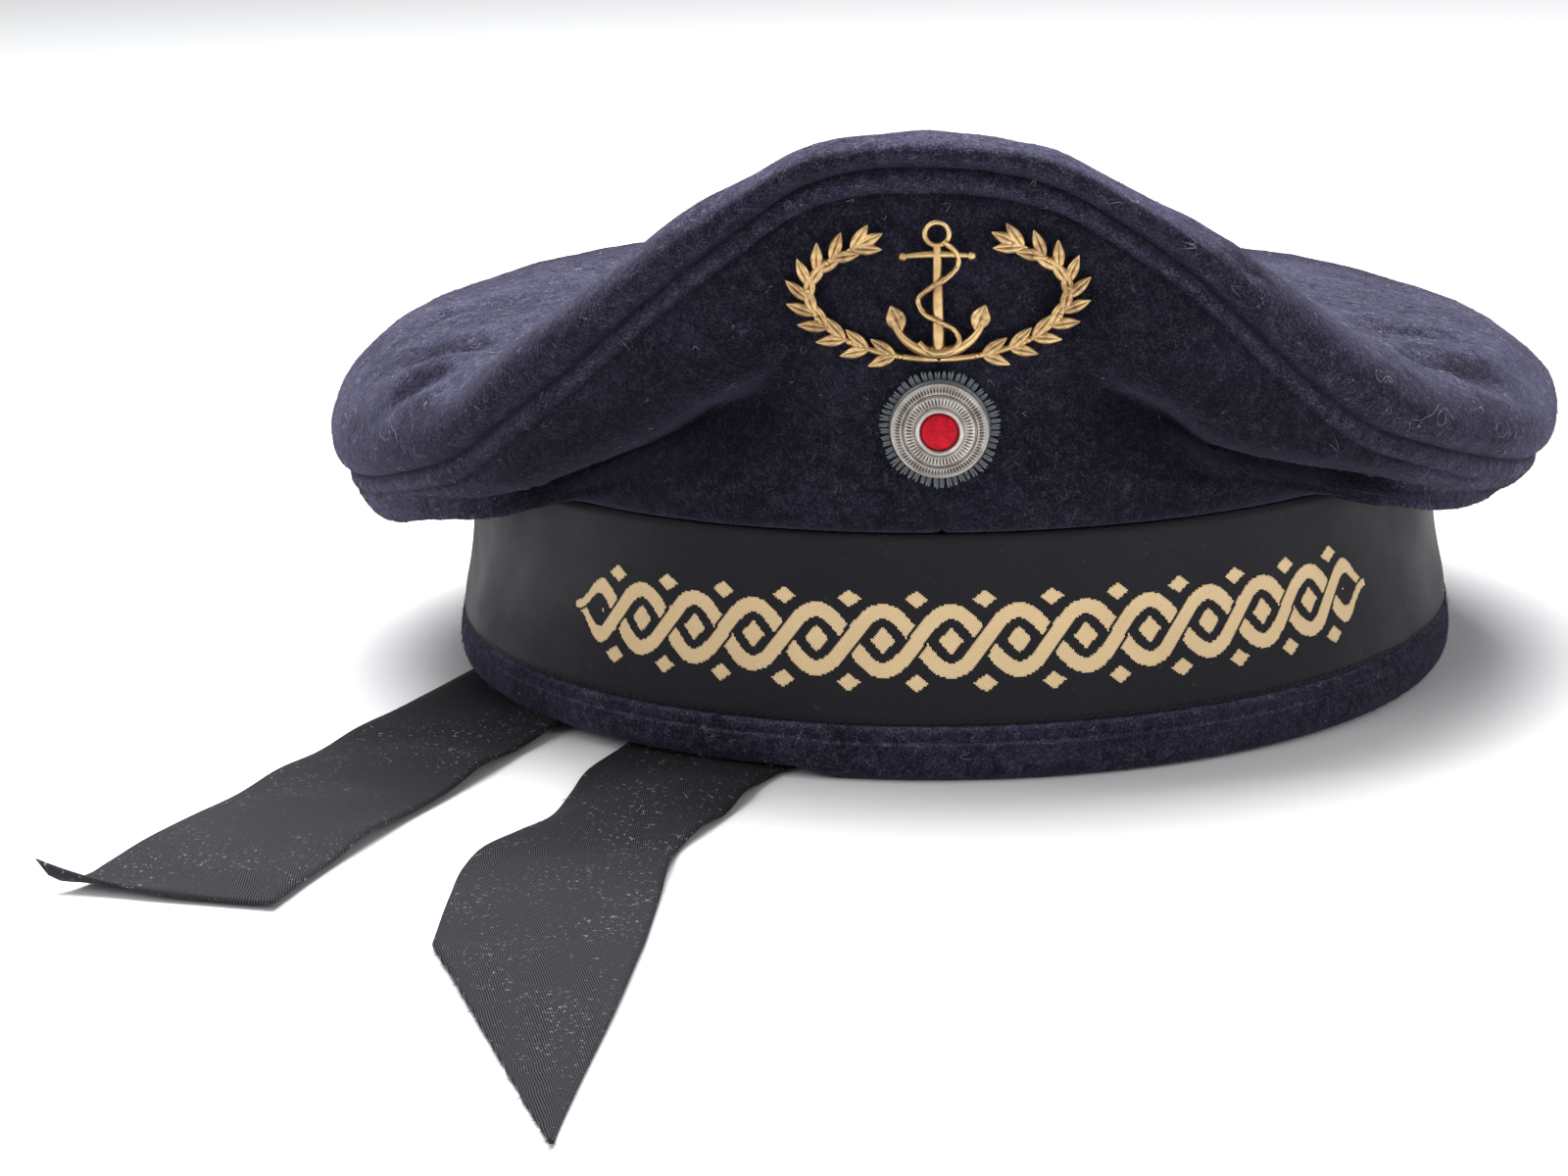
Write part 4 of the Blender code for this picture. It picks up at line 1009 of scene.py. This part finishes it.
def tail_grid(table):
    """A fine sheet between a tail's two edges, and its UVs."""
    table = np.array(table)
    run = runs((table[:, 0:2] + table[:, 2:4]) / 2) + 0.9 * runs(table[:, 5:6])
    at = np.linspace(0.0, run[-1], int(run[-1] * 0.7))
    share = ACROSS_TAIL
    grid, uv = [], []
    fine = smooth_through(np.column_stack([run, table]), at)
    for s, (lx, ly, rx, ry, left, centre, right) in zip(at, fine):
        bend = 2.0 * share * (1.0 - share) * (2.0 * centre - (left + right) / 2)
        z = np.maximum(left * (1.0 - share) ** 2 + right * share**2 + bend, LOWEST)
        grid.append(np.column_stack([lx + (rx - lx) * share, ly + (ry - ly) * share, z]))
        uv.append([(t * TAIL_WIDTH, s) for t in share])
    return np.array(grid), np.array(uv)


def near_tail_grid():
    """The near tail's sheet, which runs to a point along a slanting cut."""
    grid, uv = tail_grid(NEAR_TAIL)
    left, last = Vector(grid[-1, 0]), uv[-1, 0, 1]
    tip = Vector((*NEAR_TIP, 0.9))
    length = runs(NEAR_RIGHT_EDGE)[-1]
    share = ACROSS_TAIL
    more, more_uv = [], []
    for step in np.minimum(np.linspace(0.0, 1.0, CUT_ROWS + 2)[1:], 0.985):
        right = along_curve(NEAR_RIGHT_EDGE, step * length)[0]
        start = left.lerp(tip, step)
        x = start.x + 0.35 * noise.noise(Vector((step * 60.0, 3.0, 0.0)))
        wave = (0.5 + 0.25 * math.sin(step * 9.0)) * np.sin(np.pi * share) * (1.0 - step)
        z = 0.85 + wave + 0.15 * np.sin(share * 7.0 + step * 5.0)
        more.append(np.column_stack([x + (right[0] - x) * share, start.y + (right[1] - start.y) * share, z]))
        more_uv.append([(TAIL_WIDTH * (step + (1.0 - step) * t), last + length * step) for t in share])
    return np.concatenate([grid, more]), np.concatenate([uv, more_uv])


def corners(grid):
    return grid[:-1, :-1], grid[1:, :-1], grid[:-1, 1:], grid[1:, 1:]


def face_areas(grid):
    a, b, c, d = corners(grid)
    return sum(np.linalg.norm(np.cross(b - tip, c - tip), axis=2) for tip in (a, d)) / 2


def tail_piece(name, grid, uv, material):
    piece = cloth_piece(name, grid, material, TAIL, uv)
    if piece.data.polygons[len(piece.data.polygons) // 2].normal.z < 0:
        piece.data.flip_normals()
    return piece


def knot_mesh():
    """The tie at the back: ribbon wrapped in pleats round itself."""
    middle = head_radius(180.0) - ribbon_inset(15.0) + 2 * GAP + 3.5
    steps, sides = 48, 40
    rows = []
    for k in range(steps + 1):
        share, inside = k / steps, 0 < k < steps
        x = -15.0 + 30.0 * share
        ease = (1.0 - abs(2.0 * share - 1.0) ** 6.0) ** 0.5
        row = []
        for turn in turns_of(sides):
            c, s = math.cos(turn), math.sin(turn)
            pleat = 0.30 * math.sin(x * 1.9 + 0.5 * math.sin(turn * 2.0))
            pleat += 0.25 * noise.noise(Vector((x / 3.0, s * 2.0, c)))
            grow = (0.94 + 0.035 * pleat) * (0.25 + 0.75 * ease) if inside else 0.0
            deep, high = 3.5 * math.copysign(abs(c) ** 0.55, c), 8.5 * math.copysign(abs(s) ** 0.55, s)
            row.append((x * (0.985 if inside else 0.97), middle + deep * grow, 21.0 + high * grow))
        rows.append(row)
    mesh = bmesh.new()
    lay_grid(mesh, rows, [[(n * 1.2, k * 0.7) for n in range(sides + 1)] for k in range(steps + 1)])
    return mesh


# ---------------------------------------------------------------- badge and cockade

WALL_HEIGHTS = np.linspace(47.0, 103.0, 225)
WALL = smooth_through([(p[1], p[0]) for p in crown_row(0.0)[:4]], WALL_HEIGHTS)[:, 0]


def wall_radius(height):
    """Radius of the front panel's outside at the middle of the front."""
    return float(np.interp(height, WALL_HEIGHTS, WALL))


BADGE_WALL = wall_radius(BADGE_HEIGHT)
COCKADE_WALL = wall_radius(COCKADE_HEIGHT)


def on_wall(x, z, depth):
    radius = wall_radius(z + BADGE_HEIGHT) + BADGE_STANDOFF + depth
    turn = (FRONT_MIDDLE + x) / BADGE_WALL
    return radius * math.sin(turn), -radius * math.cos(turn), z + BADGE_HEIGHT


COCKADE_TOP, COCKADE_FOOT = (wall_radius(COCKADE_HEIGHT + end * COCKADE_RADIUS) for end in (1.0, -1.0))
COCKADE_LEAN = math.atan2(COCKADE_TOP - COCKADE_FOOT, 2 * COCKADE_RADIUS)


def on_cockade(x, z, depth):
    c, s = math.cos(COCKADE_LEAN), math.sin(COCKADE_LEAN)
    out = COCKADE_WALL + COCKADE_STANDOFF + z * s + depth * c
    return FRONT_MIDDLE + x, -out, COCKADE_HEIGHT + z * c - depth * s


def ahead(point, turn, far, depth):
    return point[0] + far * math.cos(turn), point[1] + far * math.sin(turn), depth


def add_spray(mesh, side):
    """Adds a laurel spray to one side of the badge: a stem, leaves in pairs, berries and a last leaf."""
    turns = np.radians(np.linspace(SPRAY_FROM, SPRAY_TO, SPRAY_LEAVES + 1))
    width = side * SPRAY_HALF_WIDTH
    stem = [(width * math.cos(turn), SPRAY_HALF_HEIGHT * math.sin(turn) - 0.6, 0.75) for turn in turns]
    add_bar(mesh, evenly_through(stem, 56), np.linspace(0.62, 0.30, 56), 10)
    for k, (last, point) in enumerate(zip(stem[1:], stem[2:])):
        way = math.atan2(point[1] - last[1], point[0] - last[0])
        for n, turn in enumerate((way - LEAF_SPREAD, way + LEAF_SPREAD)):
            add_leaf(mesh, ahead(point, turn, 2.1, 0.80 + 0.12 * n), turn, 5.6, 2.15, 1.25)
        if k % 2 == 0 and k < 9:
            add_ball(mesh, ahead(point, way, -0.9, 1.25), 0.52, 10)
    add_leaf(mesh, ahead(point, way, 2.8, 0.85), way, 5.8, 2.2, 1.25)


def badge_mesh():
    """Anchor and cable between two laurel sprays."""
    mesh = bmesh.new()
    for side in (-1.0, 1.0):
        add_spray(mesh, side)
    front = 1.35
    stock = [(x, 6.2 + 0.35 * math.cos(x / 5.4 * math.pi / 2), front) for x in np.linspace(-5.2, 5.2, 17)]
    add_bar(mesh, stock, [0.42 + 0.28 * (1.0 - abs(2 * k / 16 - 1)) for k in range(17)], 12)
    for side in (-1.0, 1.0):
        add_ball(mesh, (side * 5.35, 6.2, front), 0.78)
    arms = [ahead((0.0, -2.2), turn, 7.6, front) for turn in np.radians(np.linspace(-160.0, -20.0, 33))]
    add_bar(mesh, arms, [1.12 - 0.62 * abs(k / 16 - 1.0) ** 1.3 for k in range(33)], 12)
    for side in (-1.0, 1.0):
        add_leaf(mesh, (side * 6.7, -4.2, front), math.pi / 2 - side * 0.35, 5.0, 3.4, 1.5)
    shank = [(0.0, z, front) for z in np.linspace(8.3, -10.1, 30)]
    add_bar(mesh, shank, np.linspace(0.68, 1.12, 30), 14)
    add_bar(mesh, [(0.0, z, front) for z in (-9.2, -10.2, -11.2)], [1.3, 0.95, 0.12], 12)
    lay_grid(mesh, [
        [
            on_wall(*ahead((0.0, 9.9), turn, 1.9 + 0.46 * math.cos(wire), front + 0.46 * math.sin(wire)))
            for wire in turns_of(12)
        ]
        for turn in turns_of(32)
    ])
    cable = (
        (1.1, 8.6, 1.9), (2.9, 6.9, 1.75), (3.2, 4.6, 1.2), (1.3, 2.6, 2.3), (-1.2, 1.1, 2.4),
        (-3.1, -0.9, 1.2), (-2.2, -3.2, 1.7), (0.2, -4.5, 2.6), (2.4, -5.9, 1.7), (3.3, -7.9, 1.9),
        (1.6, -9.4, 2.7), (-1.1, -9.6, 2.7), (-3.0, -8.0, 2.0),
    )
    add_bar(mesh, evenly_through(cable, 150), [0.46] * 150, 12, twist=2.1, strands=3)
    return mesh


def mark_hollows(mesh):
    """Stores how hollow the surface is at each vertex, from 0 on a ridge to 1 in a groove."""
    layer = mesh.verts.layers.float.new("hollow")
    for vertex in mesh.verts:
        beside = [edge.other_vert(vertex).co for edge in vertex.link_edges]
        middle = sum(beside, Vector()) / len(beside)
        reach = max(sum((p - vertex.co).length for p in beside) / len(beside), 1e-9)
        vertex[layer] = min(max(0.22 + 2.4 * (middle - vertex.co).dot(vertex.normal) / reach, 0.0), 1.0)


def disc_ridge(radius, turn):
    """Heights stamped in the cockade's disc: two rings of ribs and two grooves between them."""
    high = -0.22 * bell(radius - 6.12, 0.11) - 0.16 * bell(radius - 5.86, 0.09)
    for start, wide, tall, ribs_round in ((6.25, 1.25, 0.30, 84), (4.35, 1.35, 0.26, 58)):
        ring = math.sin(math.pi * min(max((radius - start) / wide, 0.0), 1.0))
        high += tall * ring * (0.5 + 0.5 * math.cos(ribs_round * turn)) ** 0.7
    return high


def disc_mesh():
    back = 1.3
    knots = (
        (0, 8.0, 0.62), (1, 7.86, 0.92), (2, 7.62, 0.80), (3, 7.4, 0.86), (4, 6.2, 1.22), (5, 5.0, 1.36),
        (6, 4.25, 1.36), (7, 3.9, 1.85), (8, 3.55, 2.02), (9, 3.2, 1.75), (10, 3.08, 1.0),
    )
    at = np.concatenate([np.linspace(0, 3, 9)[1:], np.linspace(3, 6, 44)[1:], np.linspace(6, 10, 17)[1:]])
    profile = [(r, back + d, False) for r, d in ((0.0, 0.0), (7.7, 0.0), (7.95, 0.18), (8.02, 0.5))]
    profile += [(r, back + d, True) for r, d in smooth_through(knots, at)]
    profile += [(r, back + 0.8, False) for r in (2.9, 0.0)]
    mesh = bmesh.new()
    add_turned(mesh, profile, 252, disc_ridge)
    return mesh


def rim_mesh():
    """A dished plate and, round it, leaves of thin metal, curled and set in pairs."""
    mesh = bmesh.new()
    plate = ((0.0, 0.0), (7.6, 0.0), (8.3, 0.25), (8.35, 0.5), (8.2, 0.7), (7.4, 0.98), (0.0, 0.98))
    add_turned(mesh, [(r, d, False) for r, d in plate], RIM_LEAVES)
    for k in range(RIM_LEAVES):
        turn = math.tau * (k + 0.18 * (-1) ** k) / RIM_LEAVES
        c, s = math.cos(turn), math.sin(turn)
        long = 1.95 + 0.18 * math.sin(k * 12.9898) + 0.1 * math.sin(k * 4.1)
        lean = 0.16 * math.sin(k * 7.7)
        for vertex in bmesh.ops.create_uvsphere(mesh, u_segments=10, v_segments=6, radius=1.0)["verts"]:
            u, v, w = vertex.co
            out = (u + 1.0) / 2.0
            radius = 7.95 + long * out
            wide = v * (0.235 - 0.05 * u) + lean * out
            rise = 0.55 + w * 0.20 + 0.42 * v * v * out + 0.30 * out**2 * (1 if k % 2 else 0.55)
            vertex.co = put(on_cockade(radius * c - wide * s, radius * s + wide * c, rise))
    return mesh


def felt_height(radius, turn):
    return 0.05 * noise.noise(Vector((radius * math.cos(turn), radius * math.sin(turn), 0.0)) * 1.9)


def dome_mesh():
    profile = (
        (0.0, 2.15), (2.9, 2.15), (2.98, 2.45), (2.9, 2.85), (2.6, 3.3), (2.1, 3.62), (1.4, 3.85),
        (0.7, 3.95), (0.0, 3.98),
    )
    fine = evenly_through(profile, 33)
    fine[[0, -1], 0] = 0.0
    mesh = bmesh.new()
    add_turned(mesh, [(max(r, 0.0), d, r > 0.3) for r, d in fine], 64, felt_height)
    return mesh


# ---------------------------------------------------------------- loose fibres

def scattered(grids, count):
    """Random places on grids of points, with the outward normal at each; more where the cloth has painted
    light, fewer in its painted shade.
    """
    places, ups, chance = [], [], []
    for grid, closed, painted_light_and_wear in grids:
        area = face_areas(grid)
        if painted_light_and_wear is not None:
            area *= (0.08 + np.minimum(painted_light_and_wear[:-1, :-1], 0.6)) * np.where(grid[:-1, :-1, 1] < 10.0, 1.35, 0.8)
        places.append(np.stack(corners(grid), 2).reshape(-1, 4, 3))
        ups.append(np.stack(corners(grid_normals(grid, closed)), 2).reshape(-1, 4, 3))
        chance.append(area.reshape(-1))
    places, ups, chance = np.concatenate(places), np.concatenate(ups), np.concatenate(chance)
    picked = rng.choice(len(chance), size=count, p=chance / chance.sum())
    s, t = rng.random((2, count, 1))
    share = np.concatenate([(1 - s) * (1 - t), s * (1 - t), (1 - s) * t, s * t], 1)[:, :, None]
    return (places[picked] * share).sum(1), unit((ups[picked] * share).sum(1))


def strand_piece(name, line, ups, thick, material):
    """Joined strands, each a thin closed three-sided bar along its row of line; ups point off the cloth."""
    count, joints = line.shape[0], line.shape[1] - 2
    line[:, :, 2] = np.maximum(line[:, :, 2], 0.06)
    ups = ups if ups.ndim == 3 else np.broadcast_to(ups[:, None, :], line.shape)
    side = unit(np.cross(ups, np.gradient(line, axis=1)))
    radius = (thick[0] + (thick[1] - thick[0]) * rng.random((count, 1, 1))) / 2
    rings = [line[:, :1]]
    for k in range(1, joints + 1):
        for n in range(3):
            angle = math.tau * n / 3
            way = side[:, k:k + 1] * math.cos(angle) + ups[:, k:k + 1] * math.sin(angle)
            rings.append(line[:, k:k + 1] + way * radius)
    points = np.concatenate([*rings, line[:, -1:]], 1)
    size = points.shape[1]
    faces = [(0, 1 + (n + 1) % 3, 1 + n) for n in range(3)]
    for k in range(joints - 1):
        a = 1 + 3 * k
        for n in range(3):
            m = (n + 1) % 3
            faces += [(a + n, a + m, a + 3 + m), (a + n, a + 3 + m, a + 3 + n)]
    a = 1 + 3 * (joints - 1)
    faces += [(a + n, a + (n + 1) % 3, size - 1) for n in range(3)]
    faces = (np.array(faces)[None] + size * np.arange(count)[:, None, None]).reshape(-1, 3)
    data = bpy.data.meshes.new(name)
    data.from_pydata((points.reshape(-1, 3) * MM + np.array(CAP_CENTRE)).tolist(), [], faces.tolist())
    riding_piece(name, data, material)


def fibre_piece(name, spots, ups, length, thick, stand, curl, material, slot, joints=2):
    """Short hairs that lie on the cloth and lift off it a little."""
    count = len(spots)
    turn = rng.random(count) * math.tau
    helper = np.where(np.abs(ups[:, 2:3]) > 0.9, [[1.0, 0.0, 0.0]], [[0.0, 0.0, 1.0]])
    first = unit(np.cross(helper, ups))
    way = first * np.cos(turn)[:, None] + np.cross(ups, first) * np.sin(turn)[:, None]
    side = np.cross(ups, way)
    long = (length[0] + (length[1] - length[0]) * rng.random(count) ** 2)[:, None]
    bend = curl * rng.standard_normal((count, 2))
    lift = stand * rng.random((count, 2))
    line = []
    for stop in np.linspace(0.0, 1.0, joints + 2):
        across = bend[:, :1] * math.sin(math.pi * stop) + bend[:, 1:] * math.sin(2 * math.pi * stop) * 0.6
        high = lift[:, :1] * math.sin(math.pi * stop) + lift[:, 1:] * stop * 0.6 + 0.02
        line.append(spots + long * (way * (stop - 0.5) + side * across) + ups * high * np.minimum(long, 1.6))
    strand_piece(name, np.stack(line, 1), ups, thick, material)


def curly_hairs(starts, steps, grids, material):
    """Long thin hairs that wander over the cloth, each from a place, by a step in millimetres and a curl."""
    places = np.concatenate([grid.reshape(-1, 3) for grid, _, _ in grids])
    normals = np.concatenate([grid_normals(grid, closed).reshape(-1, 3) for grid, closed, _ in grids])
    lines, tops = [], []
    for start, step, curl in starts:
        spot, way, bend = np.array(start, float), rng.standard_normal(3), 0.0
        line, ups = [], []
        for k in range(steps):
            near = np.argmin(((places - spot) ** 2).sum(1))
            up = normals[near]
            height = 0.10 + 0.22 * (0.5 + 0.5 * math.sin(k * 0.31 + start[0]))
            spot = spot + up * (height - (spot - places[near]) @ up)
            way = unit(way - up * (way @ up))
            line.append(spot)
            ups.append(up)
            bend = 0.86 * bend + curl * rng.standard_normal()
            way = way * math.cos(bend) + np.cross(up, way) * math.sin(bend)
            spot = spot + way * step
        lines.append(line)
        tops.append(ups)
    strand_piece("curly_hairs", np.array(lines), np.array(tops), (0.05, 0.075), material)


def edge_stitches(material):
    """A row of small stitches along the ribbon's lower edge."""
    count = 336
    angles = np.arange(count) * 360.0 / count + rng.uniform(-0.12, 0.12, count)
    stitch = ((-0.34, 9.62, -0.05), (-0.2, 9.66, 0.16), (0.16, 9.86, 0.17), (0.36, 9.92, -0.05))
    lines = [[tally_place(angle + turn, height, out) for turn, height, out in stitch] for angle in angles]
    ups = np.array([spot_at(angle, 1.0, 0.0) for angle in angles])
    strand_piece("ribbon_stitches", np.array(lines), ups, (0.24, 0.30), material)


def frayed_end(edge, away, count, length):
    """Loose thread ends along a cut edge, pointing away from it."""
    starts = along_curve(edge, np.sort(rng.random(count)) * runs(edge)[-1])
    long = length[0] + (length[1] - length[0]) * rng.random((count, 1)) ** 2
    way = np.array(away) + 0.35 * rng.standard_normal((count, 3)) * (1.0, 1.0, 0.3)
    bend = 0.25 * rng.standard_normal((count, 3)) * (1.0, 1.0, 0.2)
    line = np.stack([starts + long * (way * stop + bend * stop * stop) for stop in (-0.2, 0.2, 0.6, 1.0)], 1)
    return line, np.broadcast_to(np.array([0.0, 0.0, 1.0]), (count, 3))


# ---------------------------------------------------------------- floor, light and camera

def set_the_stage():
    mesh = bmesh.new()
    bmesh.ops.create_grid(mesh, x_segments=4, y_segments=4, size=3.0)
    floor = in_scene("floor", data_of("floor", mesh))
    floor.location = (0.0, 0.0, -0.0002)
    pale = Finish("pale_floor", (0.82, 0.82, 0.825), 0.85)
    pale.set(Specular_IOR_Level=0.1)
    floor.data.materials.append(pale.material)

    world = bpy.data.worlds.new("studio")
    bpy.context.scene.world = world
    world.use_nodes = True
    background = world.node_tree.nodes["Background"]
    background.inputs["Color"].default_value = (0.96, 0.98, 1.0, 1.0)
    background.inputs["Strength"].default_value = 0.45

    for name, place, aim, width, height, power in (
        ("top_softbox", (-0.1, 0.35, 1.05), (0.0, 0.05, 0.05), 1.1, 0.8, 29.0),
        ("left_softbox", (-0.8, -0.85, 0.65), (0.0, 0.0, 0.05), 0.7, 0.7, 3.6),
        ("right_softbox", (0.85, -0.85, 0.55), (0.0, 0.0, 0.05), 0.6, 0.6, 3.0),
    ):
        light = bpy.data.lights.new(name, "AREA")
        light.shape = "RECTANGLE"
        light.size, light.size_y, light.energy = width, height, power
        lamp = in_scene(name, light)
        lamp.location = place
        lamp.rotation_euler = (Vector(aim) - Vector(place)).to_track_quat("-Z", "Y").to_euler()

    camera = bpy.data.cameras.new("camera")
    camera.sensor_width = 36.0
    camera.lens = 96.856
    camera.clip_start, camera.clip_end = 0.02, 20.0
    holder = in_scene("camera", camera)
    right = Vector((0.99785559, 0.06191953, -0.02121789))
    up = Vector((0.00605003, 0.23552408, 0.97184968))
    forward = Vector((-0.0651738, 0.969894, -0.23464441))
    turn = Matrix((right, up, -forward)).transposed().to_4x4()
    turn.translation = put((20.2021, -775.8271, 196.9505))
    holder.matrix_world = turn
    bpy.context.scene.camera = holder
    bpy.context.scene.view_settings.view_transform = "Standard"


# ---------------------------------------------------------------- the cap

def main():
    set_the_stage()

    wool = felted_wool()
    # Each crown panel comes with its painted light and shade for the wool.
    top, top_painted_light = top_panel()
    left, left_painted_light = side_panel(-180.0, 0.0)
    right, right_painted_light = side_panel(0.0, 180.0)
    for name, grid, painted_light_and_wear, node in (
        ("crown_top_wool", top, top_painted_light, "crown_top"),
        ("crown_left_wool", left, left_painted_light, "crown_side_left"),
        ("crown_right_wool", right, right_painted_light, "crown_side_right"),
    ):
        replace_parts(cloth_piece(name, grid, wool, WOOL, painted_light_and_wear=painted_light_and_wear), node)

    band = np.array(headband_rows())
    mesh = bmesh.new()
    # Faces of the band that point up get painted light.
    lay_grid(mesh, band, painted_light_and_wear=painted_light_share(band, True, 0.23, 0.0))
    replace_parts(solid_piece("headband_wool", mesh, wool), "headband")

    rows, uv = tally_rows()
    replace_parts(cloth_piece("tally", rows, tally_weave(), RIBBON, uv), "tally_ribbon")
    woven_braid(tan_thread())

    weave = tail_weave()
    near, near_uv = near_tail_grid()
    far, far_uv = tail_grid(FAR_TAIL)
    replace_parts(tail_piece("near_tail", near, near_uv, weave), "ribbon_tail_near")
    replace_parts(tail_piece("far_tail", far, far_uv, weave), "ribbon_tail_far")
    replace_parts(solid_piece("pleated_knot", knot_mesh(), weave), "ribbon_knot")

    for name, mesh, metal, slot, sharp, node in (
        ("anchor_badge", badge_mesh(), worn_gilt(), "worn_gilt", 55.0, "cap_badge"),
        ("cockade_leaves", rim_mesh(), cockade_leaves(), "cockade_cloth", 60.0, "cockade_rim"),
        ("cockade_plate", disc_mesh(), oxidised_silver(), "oxidised_silver", 60.0, "cockade_disc"),
    ):
        bmesh.ops.recalc_face_normals(mesh, faces=mesh.faces)
        mesh.normal_update()
        mark_hollows(mesh)
        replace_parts(made_piece(name, mesh, metal, sharp), node)
    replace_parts(solid_piece("cockade_dome", dome_mesh(), red_felt()), "cockade_centre")

    # The top's fuzz is a paler copy of the sides' fuzz: painted light on the top and painted shade on the
    # sides.
    top_fuzz = loose_fibre("top_fuzz", (0.030, 0.029, 0.050), (0.235, 0.228, 0.290))
    side_fuzz = loose_fibre("side_fuzz", (0.013, 0.0125, 0.023), (0.080, 0.077, 0.108))
    pale_lint = loose_fibre("grey_lint", (0.12, 0.12, 0.15), (0.40, 0.40, 0.43))
    on_top = (top[:, 3:60], True, top_painted_light[:, 3:60])
    on_left = (left[:, 22:-3], False, left_painted_light[:, 22:-3])
    on_right = (right[:, 22:-3], False, right_painted_light[:, 22:-3])
    on_welt = (band[:, 2:33], True, np.full(band[:, 2:33].shape[:2], 0.35))
    for name, place, count, fuzz in (
        ("top_fuzz", on_top, 13000, top_fuzz),
        ("left_fuzz", on_left, 7000, side_fuzz),
        ("right_fuzz", on_right, 7000, side_fuzz),
        ("welt_fuzz", on_welt, 3000, side_fuzz),
    ):
        spots, ups = scattered([place], int(count * THIN))
        fibre_piece(name, spots, ups, (0.3, 1.3), (0.04, 0.065), 0.2, 0.55, fuzz, "navy_wool")
    spots, ups = scattered([on_top, on_left, on_right, on_welt], int(1700 * THIN))
    fibre_piece("lint", spots, ups, (0.5, 2.2), (0.04, 0.07), 0.2, 0.75, pale_lint, "navy_wool", joints=4)
    spots, _ = scattered([on_top], int(150 * THIN))
    starts = [(spot, rng.uniform(0.07, 0.17), 0.28) for spot in spots]
    starts += [(spot, 0.30, 0.16) for spot in LONG_HAIRS]
    pale_hair = loose_fibre("pale_hair", (0.16, 0.16, 0.20), (0.40, 0.40, 0.45))
    curly_hairs(starts, 38, [on_top, on_left, on_right], pale_hair)

    spots, ups = scattered([(near[140:], False, None), (far[110:], False, None)], int(900 * THIN))
    ups *= np.sign(ups[:, 2:3])
    tail_lint = ((0.2, 1.3), (0.04, 0.08), 0.18, 0.5)
    fibre_piece("tail_lint", spots, ups, *tail_lint, pale_lint, "black_ribbon", joints=3)
    edge_stitches(sewing_thread())
    cut, cut_ups = frayed_end(near[-CUT_ROWS:, 0][::-1], (-0.55, -0.8, 0.0), 60, (0.3, 0.9))
    tip, tip_ups = frayed_end(near[-1][::-1], (-0.1, -0.9, 0.1), 26, (0.5, 1.8))
    threads, ups = np.concatenate([cut, tip]), np.concatenate([cut_ups, tip_ups])
    strand_piece("frayed_threads", threads, ups, (0.07, 0.12), weave)


main()
